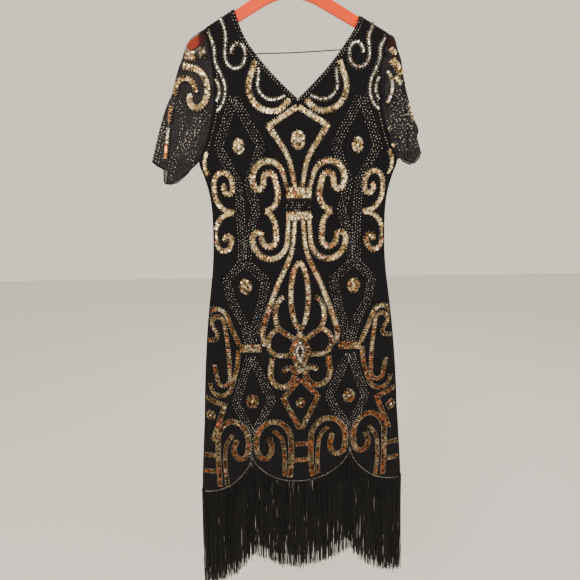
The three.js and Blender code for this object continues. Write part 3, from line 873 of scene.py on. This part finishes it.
# Sequin ribbons of the wearer's left half, mirrored on the right: name, width of the sequins
# (or widths from the start of the path to its end), path.
RIBBONS = [
    ("shoulder_s", 4.5, flowing([(151, 14), (141, 42), (143, 70), *arc(123, 80, 20, 23, 10, 170),
                                 *arc(117, 76, 14, 20, 190, 355)])),
    ("armhole_s", 4.5, flowing([
        (177, 39), (165, 62), (163, 90), *arc(180, 142, 35, 44, 210, 118)])),
    ("armhole_c", 4.5, flowing(arc(169, 142, 12, 21, 245, 115))),
    ("bowl", 10, flowing([(84, 92), *arc(52, 138, 46, 47, -25, 110), (18, 165)])),
    ("bowl_inner", 4.5, flowing([(77, 104), *arc(50, 134, 30, 29, -18, 112), (27, 156)])),
    ("kite_top", 10, sharp((3, 178), (60, 213), (50, 228))),
    ("kite_stem", (10, 8.5, 7), flowing([(53, 222), (20, 276), (8, 331)])),
    ("clasp_c_top", (6, 9, 11, 11, 11, 10.5, 10.5, 10.5, 9), flowing([
        (25, 331), *arc(63, 317, 33, 36, 190, 355), *arc(83.5, 323, 11, 15, -5, 185),
        *arc(61, 318, 12, 14, -5, -165), *arc(70, 347, 27, 34, 185, 95)])),
    ("clasp_c_low", (9, 10.5, 10.5, 10), flowing([
        *arc(72, 422, 23, 38, 262, 175), *arc(64, 439, 16, 19, 170, 0)])),
    ("low_c", (7, 9, 10.5, 10.5, 10), flowing([
        (22, 404), *arc(62, 443, 37, 41, 175, 10), *arc(88, 441, 12, 14, 0, -140)])),
    ("side_top", 9, flowing([
        *arc(148, 336, 10, 11, -50, 180), *arc(158, 328, 20, 26, 190, 360), *arc(140, 340, 38, 44, 12, 92)])),
    ("side_low", 9, flowing([
        *arc(140, 432, 41, 46, -90, 0), *arc(162, 440, 18, 27, 10, 180), *arc(152, 442, 8, 9, 190, 370)])),
    ("underarm_c", 7, flowing(arc(183, 284, 13, 26, -58, 58))),
    ("leaf", (7, 8.5, 9.5, 9.5), flowing([(8.5, 404), (17, 472), (51, 550), (82, 640), (79, 674)])),
    ("almond", 9, flowing(arc(-4, 566, 23, 76, -76, 76))),
    ("petal", 9, flowing([*arc(30, 608, 24, 42, -75, 50), (10, 666)])),
    ("lozenge", 9, sharp((0, 650), (19, 690), (1, 742))),
    ("lozenge_inner", 5, sharp((0, 672), (8, 692), (0, 716))),
    ("loop_top", 8.5, flowing([(50, 640), *arc(44, 671, 27, 30, -60, 95), (24, 701)])),
    ("loop_low", 10, flowing([(63, 708), *arc(40, 741, 28, 35, -20, 180), *arc(25, 744, 13, 14, 200, 330)])),
    ("kite_low", 9, sharp((2, 760), (40, 803), (3, 880))),
    ("hip_out_top", 8, flowing([(137, 674), (150, 642), *arc(184, 620, 24, 27, 195, 355)])),
    ("hip_in", 7, flowing([
        (207, 664), *arc(195, 652, 9, 11, 110, 200), *arc(183, 626, 15, 16, 20, -160),
        (162, 690), *arc(176, 752, 15, 19, 170, -10), (196, 722)])),
    ("hip_out_low", 8, flowing([(139, 690), (144, 728), *arc(182, 759, 27, 35, 165, 10)])),
    ("kite_side", 9, sharp((224, 796), (176, 816), (208, 900))),
    ("crook_out", 10, flowing([
        (196, 1022), (198, 957), *arc(160, 907, 37, 50, 5, -180), *arc(142, 925, 18, 27, 170, 10),
        (152, 905)])),
    ("crook_in", 7, flowing([(178, 1024), (182, 960), (177, 918), (161, 892)])),
    ("centre_out", 10, flowing([
        (27, 1005), (23, 952), *arc(64, 912, 41, 52, 195, 350), *arc(86, 924, 18, 30, 5, 175),
        (73, 902)])),
    ("centre_in", 7, flowing([(40, 1000), (39, 945), (46, 902), (62, 884)])),
    ("side_bar_top", 9, sharp((200, 941), (236, 941))),
    ("side_bar_low", 9, sharp((200, 983), (238, 983))),
]
# Bars that cross the centre line: half length, depth, width.
BARS = [(24.5, 345, 21), (24.5, 393, 16), (17, 920, 9), (17, 962, 9)]
# A bar of each half: start, end, width.
CLASP_BARS = [((88, 682), (134, 684), 16)]
# Lines of single beads along an edge: distance in from it, distance between beads, their radius.
NECK_BEADS = [(2.0, 5.8, 1.15), (8.0, 5.8, 1.05)]
ARMHOLE_BEADS = [(3.0, 6.0, 1.15), (9.0, 6.0, 1.15)]
HEM_BEADS = [(3.5, 5.4, 1.15)]
# The beads between the bars of the clasp: depths of their lines, half length, distance, radius.
CLASP_DEPTHS = np.linspace(360, 381, 5)
CLASP_HALF, CLASP_PITCH, CLASP_RADIUS = 25.0, 4.0, 1.1
# Oval discs of the left half: centre, half width, half height. u 0 isn't mirrored.
DISCS = [
    (0, 240, 14, 18), (122, 251, 11, 15), (118, 544, 13, 16), (111, 807, 13, 16),
    (0, 817, 9, 11), (211, 840, 10, 11),
]
# Bands of seed beads of the left half: rows, spread, path.
BANDS = [
    (4, 16, sharp((129, 158), (165, 252), (126, 325), (122, 440), (124, 486))),
    (4, 16, sharp((127, 158), (76, 252), (104, 325), (90, 380), (108, 440), (112, 478))),
    (4, 16, sharp((122, 492), (160, 531), (149, 578), (125, 624), (116, 668))),
    (4, 16, sharp((114, 492), (73, 531), (86, 594), (96, 624), (106, 668))),
    (4, 16, sharp((114, 704), (150, 812), (116, 884))),
    (4, 16, sharp((110, 704), (65, 806), (107, 884))),
    (4, 16, sharp((112, 890), (112, 946))),
]
BEAD_TONES = [(0.80, 0.72, 0.60), (0.55, 0.49, 0.41), (0.90, 0.84, 0.74), (0.26, 0.23, 0.20)]
GOLD_TEETH = [(0.80, 0.62, 0.34), (0.62, 0.45, 0.22), (0.9, 0.76, 0.5)]
DARK_TEETH = [(0.010, 0.009, 0.010), (0.016, 0.014, 0.015)]
TOOTH_PITCH = 5.2
BAND_PITCH = 6.4
SEQUIN_RADIUS = 2.5
ROW_GAP = 3.3
BEAD_LIFT = 0.9
BEAD_RADIUS = 1.0
# Ribbons under THIN_BELOW have one row of finer sequins: sequin radius, distance between
# sequins, then the gap to the gold beads beside them and their radius.
THIN_BELOW = 6.0
THIN_RIBBON = {"radius": 1.9, "pitch": 2.4, "tooth_gap": 1.5, "tooth_radius": 0.8}
WIDE_RIBBON = {"radius": SEQUIN_RADIUS, "pitch": 3.0, "tooth_gap": 0.8, "tooth_radius": 1.05}
DARK_GAP = 0.6
DARK_RADIUS = 0.9


def pick_tones(tones, n):
    return np.array(tones)[RNG.integers(0, len(tones), n)]


def ribbon_frame(width, path, pitch):
    """Points along a ribbon, the directions along and across it there, and its widths."""
    points, ways = resample(path, pitch)
    part = np.linspace(0, 1, len(points))
    widths = np.interp(part, np.linspace(0, 1, np.size(width)), np.atleast_1d(width))
    return points, ways, np.stack([-ways[:, 1], ways[:, 0]], 1), widths


def rows_across(width, path, pitch):
    """Each sequin row of a ribbon: its number, its points and their directions."""
    rows = max(1, round((float(np.max(width)) - 1.0) / ROW_GAP))
    for k, share in enumerate(np.linspace(-1, 1, rows) if rows > 1 else [0.0]):
        points, ways, across, widths = ribbon_frame(width, path, pitch)
        if k % 2:
            points = points + ways * pitch / 2
        reach = np.maximum(0, widths / 2 - SEQUIN_RADIUS)
        yield k, points + across * (share * reach)[:, None], ways


def edge_points(width, path, pitch, edge, outside):
    """Points along one edge of a ribbon."""
    points, _, across, widths = ribbon_frame(width, path, pitch)
    return points + across * (edge * (widths / 2 + outside))[:, None]


def sew_beads(work, side, spots, tones, radius, lift):
    """Beads on the dress at the given (u, depth) spots."""
    place, normal, _, _ = skin(side, spots[:, 0], spots[:, 1], lift)
    lay_beads(work["beads"], place, normal, pick_tones(tones, len(place)), radius)


def add_ribbon(work, side, sign, path, width):
    """A ribbon of sequin rows with a serrated line of small beads along both of its edges."""
    thin = np.max(width) < THIN_BELOW
    kind = THIN_RIBBON if thin else WIDE_RIBBON
    for k, spots, ways in rows_across(width, path, kind["pitch"]):
        spots = spots + RNG.normal(scale=0.22, size=spots.shape)
        lift = 0.9 + 0.25 * (k % 2) + 0.15 * RNG.random(len(spots))
        place, normal, along, down = skin(side, sign * spots[:, 0], spots[:, 1], 0)
        place = place + normal * lift[:, None] * MM
        way = along * (sign * ways[:, :1]) + down * ways[:, 1:]
        tones = np.array([tone_at(sign * u, 0 if thin else depth, 0.13) for u, depth in spots])
        lay_sequins(work["sequins"], place, normal, way, tones, kind["radius"])
    for edge in (-1, 1):
        gold = edge_points(width, path, TOOTH_PITCH, edge, kind["tooth_gap"])
        dark = edge_points(width, path, TOOTH_PITCH / 2, edge, DARK_GAP)
        lines = ((gold, GOLD_TEETH, kind["tooth_radius"]), (dark, DARK_TEETH, DARK_RADIUS))
        for spots, tones, radius in lines:
            spots = spots + RNG.normal(scale=0.18, size=spots.shape)
            sew_beads(work, side, spots * (sign, 1), tones, radius, BEAD_LIFT)


def add_band(work, side, sign, rows, spread, path):
    """Rows of seed beads that wander a little, as hand beading does."""
    for k, offset in enumerate(np.linspace(-spread / 2, spread / 2, rows)):
        points, ways, across, _ = ribbon_frame(0, path, BAND_PITCH)
        spots = points + across * offset + ways * (BAND_PITCH / 2 * (k % 2))
        spots = spots + RNG.normal(scale=0.7, size=points.shape)
        sew_beads(work, side, spots * (sign, 1), BEAD_TONES, BEAD_RADIUS, BEAD_LIFT)


# A rosette: distances between its rings, between the sequins of a ring and between the beads
# round it, how far its outer ring and its beads are from its edge, and the brightness of every
# second sequin in the ring next to the outer one and in the others.
DISC = {
    "ring_gap": 4.2, "sequin_gap": 3.6, "bead_gap": 3.4, "outer_ring": 0.86, "bead_margin": 1.2,
    "dark_shade": 0.25, "plain_shade": 0.75,
}


def add_disc(work, side, u, depth, half_u, half_d):
    """An oval rosette: rings of sequins round a bright one in the middle, edged with beads."""
    rings = max(2, int(half_d / DISC["ring_gap"]))
    for ring in range(rings, -1, -1):
        share = ring / rings * DISC["outer_ring"]
        around = 2 * math.pi * share * (half_u + half_d) / 2
        count = max(1, int(around / DISC["sequin_gap"]))
        angles = np.arange(count) * 2 * math.pi / count + ring
        us = u + share * half_u * np.cos(angles)
        ds = depth + share * half_d * np.sin(angles)
        place, normal, along, down = skin(side, us, ds, 1.1 + 0.25 * (rings - ring))
        way = along * np.cos(angles)[:, None] + down * np.sin(angles)[:, None]
        tones = np.array([tone_at(a + 5, b, 0.2, 18) for a, b in zip(us, ds)])
        tones[::2] *= DISC["dark_shade"] if ring == rings - 1 else DISC["plain_shade"]
        if ring == 0:
            tones[:] = TONES["pale"]
        lay_sequins(work["sequins"], place, normal, way, tones, SEQUIN_RADIUS, lean=-0.1)
    count = int(math.pi * (half_u + half_d) / DISC["bead_gap"])
    angles = np.arange(count) * 2 * math.pi / count
    margin = DISC["bead_margin"]
    us, ds = u + (half_u + margin) * np.cos(angles), depth + (half_d + margin) * np.sin(angles)
    sew_beads(work, side, np.stack([us, ds], 1), DARK_TEETH + GOLD_TEETH, 0.9, 0.8)


def add_edge_beads(work, side, path, pitch, radius, tones=BEAD_TONES):
    """One line of beads along a path of (u, depth) points."""
    points, _ = resample(np.array(path, float), pitch)
    spots = points + RNG.normal(scale=0.3, size=points.shape)
    sew_beads(work, side, spots, tones, radius, 0.8)


def neck_line(side, sign, inset):
    depth = np.linspace(4, NECK_DEPTH[side] - 1, 70)
    return np.stack([sign * (neck_half(depth, side) + inset), depth], 1)


def hem_line(sign, inset):
    x = np.linspace(0.5, HEM["half"] * 1.01, 160)
    return np.stack([sign * x, scallop(HEM, np.minimum(x, HEM["half"])) - inset], 1)


def armhole_line(sign, inset):
    depth = np.linspace(38, 270, 90)
    return np.stack([sign * (half_width(depth) - inset), depth], 1)


def new_work():
    return {"sequins": Scatter(*sequin_template()), "beads": Scatter(*bead_template())}


def decorate(side):
    """All the sequins and beads of one panel."""
    work = new_work()
    for sign in (-1, 1):
        for name, width, path in RIBBONS:
            if side == "back" and path[:, 1].min() < NECK_DEPTH["back"] and name in BACK_NECK_HIDES:
                continue
            add_ribbon(work, side, sign, path, width)
        for start, end, width in CLASP_BARS:
            add_ribbon(work, side, sign, sharp(start, end), width)
        for rows, spread, path in BANDS:
            add_band(work, side, sign, rows, spread, path)
        for inset, *beads in NECK_BEADS:
            add_edge_beads(work, side, neck_line(side, sign, inset), *beads)
        for inset, *beads in ARMHOLE_BEADS:
            add_edge_beads(work, side, armhole_line(sign, inset), *beads)
        for inset, *beads in HEM_BEADS:
            add_edge_beads(work, side, hem_line(sign, inset), *beads)
    for half, depth, width in BARS:
        add_ribbon(work, side, 1, sharp((-half, depth), (half, depth)), width)
    for depth in CLASP_DEPTHS:
        line = sharp((-CLASP_HALF, depth), (CLASP_HALF, depth))
        add_edge_beads(work, side, line, CLASP_PITCH, CLASP_RADIUS, BEAD_TONES + DARK_TEETH * 3)
    for u, depth, half_u, half_d in DISCS:
        for sign in ((1,) if u == 0 else (-1, 1)):
            if side == "back" and depth < NECK_DEPTH["back"] + half_d and u == 0:
                continue
            add_disc(work, side, sign * u, depth, half_u, half_d)
    return work


# Ribbons that would cross the deeper neckline of the back.
BACK_NECK_HIDES = {"bowl", "bowl_inner", "kite_top"}


# ---------------------------------------------------------------- sleeve ornament
# Sequin work on a sleeve as seen flat: tones (or None for the dress's own), width, path in
# (distance from the dress's centre line, depth). The left sleeve's front is folded, so only
# parts of its motif show.
SLEEVE_RIBBONS = {
    "whole": [
        ("pale", 14, sharp((204, 81), (220, 81))),
        ("pale", 14, sharp((183, 75), (192, 75))),
        (None, 10, flowing([(225, 98), *arc(209, 139, 28, 38, 262, 115), *arc(204, 160, 14, 16, 90, -30)])),
        ("champagne", 8, flowing([(247, 148), *arc(225, 143, 20, 24, -20, -180)])),
        ("bronze", 6, flowing([(256, 172), (259, 184), (262, 198)])),
        ("silver", 5, flowing([(265, 214), (269, 240)])),
        ("copper", 5.5, flowing([(270, 244), (275, 272)])),
    ],
    "folded": [
        ("champagne", 10, sharp((186, 66), (193, 74))),
        ("champagne", 13, sharp((189, 90), (207, 114))),
        ("silver", 9, sharp((196, 122), (206, 133))),
        ("silver", 4.5, flowing(arc(160, 141, 30, 40, -44, 44))),
        ("pale", 5, flowing([(225, 174), (235, 205)])),
        ("silver", 5, sharp((187, 218), (190, 222))),
        ("silver", 5, sharp((196, 250), (199, 253))),
    ],
}
SLEEVE_BANDS = {
    "whole": [
        sharp((186, 186), (222, 230), (258, 276), (270, 312)), sharp((236, 196), (232, 226), (240, 250)),
        sharp((262, 158), (246, 166), (232, 182)), sharp((270, 200), (283, 240), (296, 276)),
        sharp((282, 208), (300, 268)), sharp((206, 196), (214, 240), (226, 282)),
    ],
    "folded": [
        sharp((190, 176), (212, 184), (234, 214)), sharp((200, 150), (214, 168), (224, 190)),
        sharp((188, 200), (205, 228), (214, 262)), sharp((196, 190), (226, 226), (244, 254)),
    ],
}
# Which motif each face of a sleeve carries, and how far across it spreads.
SLEEVE_FACES = {
    ("right", "front"): ("whole", 1.0), ("right", "back"): ("whole", 1.0),
    ("left", "front"): ("folded", 1.0), ("left", "back"): ("whole", 0.62),
}
SPREAD_FROM = 170.0
SLEEVE_BEAD_RADIUS = 1.1
SLEEVE_BAND_OFFSETS = (-6.5, 0, 6.5)
OWN_TONE_SHARE = 0.7  # of a sleeve ribbon's sequins; the rest have the tone beside it


def sleeve_coords(name, points, spread):
    """Moves a flat motif onto the sleeve as it hangs."""
    sign = {"right": -1, "left": 1}[name]
    return sign * (SPREAD_FROM + (points[:, 0] - SPREAD_FROM) * spread), points[:, 1]


def sleeve_tone(tone, x, depth):
    if tone is None:
        return tone_at(x + 9, depth + 60, 0.15)
    beside = "champagne" if tone == "silver" else "bronze"
    mixed = TONES[tone if RNG.random() < OWN_TONE_SHARE else beside]
    # Painted glints scale the sequin's colour.
    return np.minimum(np.array(mixed) * RNG.choice(GLINTS, p=GLINT_SHARES), 1.0)


def sew_sleeve_beads(work, name, side, spots, spread, tones):
    """Beads on a sleeve at the given flat spots."""
    x, depth = sleeve_coords(name, spots, spread)
    kept, place, normal = sleeve_place(name, side, x, depth, 0.8)
    lay_beads(work["beads"], place, normal, pick_tones(tones, len(kept)), SLEEVE_BEAD_RADIUS)


def decorate_sleeve(work, name, side):
    """The sequins and beads of one face of a sleeve."""
    motif, spread = SLEEVE_FACES[name, side]
    for tone, width, path in SLEEVE_RIBBONS[motif]:
        for _, spots, ways in rows_across(width, path, WIDE_RIBBON["pitch"]):
            x, depth = sleeve_coords(name, spots + RNG.normal(scale=0.25, size=spots.shape), spread)
            kept, place, normal = sleeve_place(name, side, x, depth, 1.0)
            if not kept:
                continue
            way = np.stack([np.sign(x[kept]) * ways[kept, 0], np.zeros(len(kept)), -ways[kept, 1]], 1)
            tones = np.array([sleeve_tone(tone, x[i], depth[i]) for i in kept])
            lay_sequins(work["sequins"], place, normal, way, tones, SEQUIN_RADIUS)
        for edge in (-1, 1):
            spots = edge_points(width, path, TOOTH_PITCH, edge, 0.7)
            sew_sleeve_beads(work, name, side, spots, spread, GOLD_TEETH)
    for path in SLEEVE_BANDS[motif]:
        for offset in SLEEVE_BAND_OFFSETS:
            points, _, across, _ = ribbon_frame(0, path, BAND_PITCH)
            spots = points + across * offset + RNG.normal(scale=1.3, size=points.shape)
            sew_sleeve_beads(work, name, side, spots, spread, BEAD_TONES)


def build_trim(work, prefix, name):
    """Turns the work of one panel or sleeve into its two meshes."""
    return [
        work["sequins"].build(f"{prefix}sequins_{name}", SEQUIN, "sequins"),
        work["beads"].build(f"{prefix}beads_{name}", BEAD, "beads"),
    ]


SLEEVE_WORK = {spec["name"]: new_work() for spec in SLEEVES}
for name, work in SLEEVE_WORK.items():
    for side in SIDE_Y:
        decorate_sleeve(work, name, side)
DRESS_WORK = {side: decorate(side) for side in SIDE_Y}
TRIM = {side: build_trim(work, "", side) for side, work in DRESS_WORK.items()}
TRIM.update({name: build_trim(work, "sleeve_", name) for name, work in SLEEVE_WORK.items()})


# ---------------------------------------------------------------- tubes: fringe, edges
def tubes(paths, radii, sides):
    """Closed tubes along paths of one length each: paths (n, m, 3), radii (n, m)."""
    n, m, _ = paths.shape
    way = np.gradient(paths, axis=1)
    way /= np.maximum(np.linalg.norm(way, axis=2, keepdims=True), 1e-9)
    helper = np.where(np.abs(way[..., 1:2]) > 0.9, (1.0, 0, 0), (0, 1.0, 0))
    a = np.cross(way, helper)
    a /= np.linalg.norm(a, axis=2, keepdims=True)
    b = np.cross(way, a)
    angles = np.arange(sides) * 2 * math.pi / sides
    ring = a[..., None, :] * np.cos(angles)[:, None] + b[..., None, :] * np.sin(angles)[:, None]
    verts = (paths[..., None, :] + ring * radii[..., None, None]).reshape(-1, 3)
    base = np.arange(m - 1)[:, None] * sides
    k = np.arange(sides)
    quads = np.stack([base + k, base + sides + k, base + sides + (k + 1) % sides, base + (k + 1) % sides], -1)
    quads = quads.reshape(-1, 4)
    faces = (quads[None] + (np.arange(n) * m * sides)[:, None, None]).reshape(-1, 4).tolist()
    for i in range(n):
        first = i * m * sides
        last = first + (m - 1) * sides
        faces.append([first + k for k in range(sides)])
        faces.append([last + k for k in reversed(range(sides))])
    return verts, faces


FRINGE_PITCH = 2.1
FRINGE_LAYERS = 4
FRINGE_POINTS = 12
CORD_SIDES = 4
CORD_RADIUS = 0.68
CORD_TAPER = 0.16
CLUMP = 7.5  # how far the cords of a clump lean together
GATHER = 5.0  # how far whole groups of clumps do
DRIFT = 2.2  # how far cords stand out of the fringe's plane
ROOT_ABOVE_HEM = 2
LAYER_RISE = 1.6  # each layer starts this much higher than the one before
LAYER_INWARD = 0.8  # and this much nearer the inside of the dress
END_SPREAD = 5
SHORT_SHARE = 0.12  # this share of the cords ends higher, by SHORTER_BY
SHORTER_BY = (8, 60)
FRINGE_CENTRE_LIFT = 15.0  # the centre lobe's cords are a little shorter than the walls they fill


def fringe_end(root):
    """Depth of the fringe's lower edge. root is the place as a fraction of its half width."""
    lift = FRINGE_CENTRE_LIFT * (1 - smoothstep(np.abs(root), 0.25, 0.5))
    return float(scallop(FRINGE, root * FRINGE["half"])) - lift


def fringe_strands(side):
    """Cords that hang from the hem in clumps, with uneven ends."""
    paths, radii = [], []
    t = np.linspace(0, 1, FRINGE_POINTS)
    for layer in range(FRINGE_LAYERS):
        count = int(2 * HEM["half"] / FRINGE_PITCH)
        roots = np.linspace(-0.998, 0.998, count) + RNG.normal(scale=0.0012, size=count)
        for root in roots:
            x0 = root * HEM["half"]
            depth0 = float(scallop(HEM, x0)) - ROOT_ABOVE_HEM - LAYER_RISE * layer
            u0 = root * float(arc_length(side, depth0))
            place = skin(side, u0, depth0, 0.1 - LAYER_INWARD * layer)[0] / MM
            end = fringe_end(root) + RNG.normal(scale=END_SPREAD) - 2
            if RNG.random() < SHORT_SHARE:
                end -= RNG.uniform(*SHORTER_BY)
            spread = root * (FRINGE["half"] - HEM["half"]) * t
            clump = CLUMP * noise.noise((x0 / 9, layer * 3.3, SIDE_Y[side] * 2)) * t**1.1
            gather = GATHER * noise.noise((x0 / 31, 8.8, SIDE_Y[side])) * t
            sway = RNG.uniform(0.4, 1.8) * np.sin(t * RNG.uniform(3, 9) + RNG.uniform(0, 6)) * t
            wander = 1.6 * RNG.normal() * t
            depth = depth0 + (end - depth0) * t
            x = place[0] - DRESS_SHIFT + spread + clump + gather + sway + wander
            x = np.clip(x, -FRINGE["half"] - 5, FRINGE["half"] + 5)
            drift = DRIFT * noise.noise((x0 / 17, 4.4 + layer, 1.0)) * t + 0.7 * RNG.normal() * t
            y = place[1] + drift * SIDE_Y[side]
            paths.append(hang(x, y, depth))
            radii.append((CORD_RADIUS - CORD_TAPER * t**3) * MM * (1 + 0.12 * RNG.normal()))
    verts, faces = tubes(np.array(paths), np.array(radii), CORD_SIDES)
    cords = new_object(f"fringe_cords_{side}", verts, faces, CORD)
    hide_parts(f"fringe_{side}")
    return piece(cords)


CORDS = {side: fringe_strands(side) for side in SIDE_Y}


ROLL_RADIUS = 1.1
ROLL_SIDES = 6


def edge_roll(name, points):
    """A thin rolled edge along a line of points in metres."""
    verts, faces = tubes(points[None], np.full((1, len(points)), ROLL_RADIUS * MM), ROLL_SIDES)
    return piece(new_object(name, verts, faces, CLOTH))


for side in SIDE_Y:
    line = np.vstack([neck_line(side, -1, 0.0), neck_line(side, 1, 0.0)[::-1]])
    points = skin_point(side, line[:, 0], line[:, 1])
    edge_roll(f"neck_edge_{side}", points)
for spec in SLEEVES:
    ring = SLEEVE_BUILT[spec["name"]][2]
    points = np.vstack([ring, ring[:1]])
    edge_roll(f"sleeve_edge_{spec['name']}", points)

# ---------------------------------------------------------------- strap and hanger
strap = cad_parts["neck_strap"]
strap.data.materials.clear()
strap.data.materials.append(ELASTIC)
for node in ("hanger_arms", "hanger_hook"):
    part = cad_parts[node]
    part.data.materials.clear()
    part.data.materials.append(PLASTIC)
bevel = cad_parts["hanger_arms"].modifiers.new("moulded_edge", "BEVEL")
bevel.width = 1.6 * MM
bevel.segments = 3
bevel.limit_method = "ANGLE"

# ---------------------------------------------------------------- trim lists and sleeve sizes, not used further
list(TRIM["front"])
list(TRIM["back"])
# Both sleeves have one cut. The left one hangs bunched, and the size given for it below is only of the cloth
# that shows.
for name, flat, area in (("right", (0.22, 0.30), 0.052), ("left", (0.14, 0.28), 0.030)):
    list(TRIM[name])

# ---------------------------------------------------------------- stage, light, camera
PALE = (0.70, 0.63, 0.52)
WORLD_STRENGTH = 1.5
FLOOR_HALF = 6.0
FLOOR_DROP = 0.3  # below the fringe, in metres
# Lights: name, place, what it points at, size, watts, colour.
LIGHTS = [
    ("key", (-1.3, -2.4, 0.9), (0, 0, -0.6), 1.2, 60, (1.0, 0.97, 0.93)),
    ("fill", (1.9, -1.9, -0.2), (0, 0, -0.8), 1.6, 22, (0.95, 0.97, 1.0)),
    ("rim", (0.6, 2.4, 1.2), (0, 0, -0.6), 1.6, 30, (1, 1, 1)),
]


def pale_floor():
    corners = ((-1, -1), (1, -1), (1, 1), (-1, 1))
    verts = [(x * FLOOR_HALF, y * FLOOR_HALF, 0) for x, y in corners]
    material, _, _ = new_material("pale_floor", (0.80, 0.78, 0.74), 0.95, specular=0.1)
    obj = new_object("floor", verts, [(0, 1, 2, 3)], material, smooth=False)
    obj.location.z = CAD_BOX[0].z - FLOOR_DROP


def pale_world():
    world = bpy.data.worlds.new("studio")
    bpy.context.scene.world = world
    world.use_nodes = True
    background = world.node_tree.nodes["Background"]
    background.inputs["Color"].default_value = (*PALE, 1)
    background.inputs["Strength"].default_value = WORLD_STRENGTH


def soft_light(name, place, target, size, power, color):
    light = bpy.data.lights.new(name, "AREA")
    light.shape = "SQUARE"
    light.size = size
    light.energy = power
    light.color = color
    obj = bpy.data.objects.new(name, light)
    obj.location = place
    obj.rotation_mode = "QUATERNION"
    obj.rotation_quaternion = (Vector(target) - Vector(place)).to_track_quat("-Z", "Y")
    bpy.context.scene.collection.objects.link(obj)


SENSOR = 36.0  # millimetres
FOCAL = 436 / 580 * SENSOR
CAMERA_PLACE = (-0.0088, -0.9506, -0.4956)
CAMERA_PITCH = math.radians(-12.05)
CAMERA_ROLL = math.radians(-0.8)


def add_camera():
    data = bpy.data.cameras.new("camera")
    data.sensor_width = SENSOR
    data.lens = FOCAL
    camera = bpy.data.objects.new("camera", data)
    camera.location = CAMERA_PLACE
    look = Euler((math.pi / 2 + CAMERA_PITCH, 0, 0)).to_matrix()
    roll = Euler((0, 0, CAMERA_ROLL)).to_matrix()
    camera.rotation_euler = (look @ roll).to_euler()
    bpy.context.scene.collection.objects.link(camera)
    bpy.context.scene.camera = camera


pale_floor()
pale_world()
for light in LIGHTS:
    soft_light(*light)
add_camera()
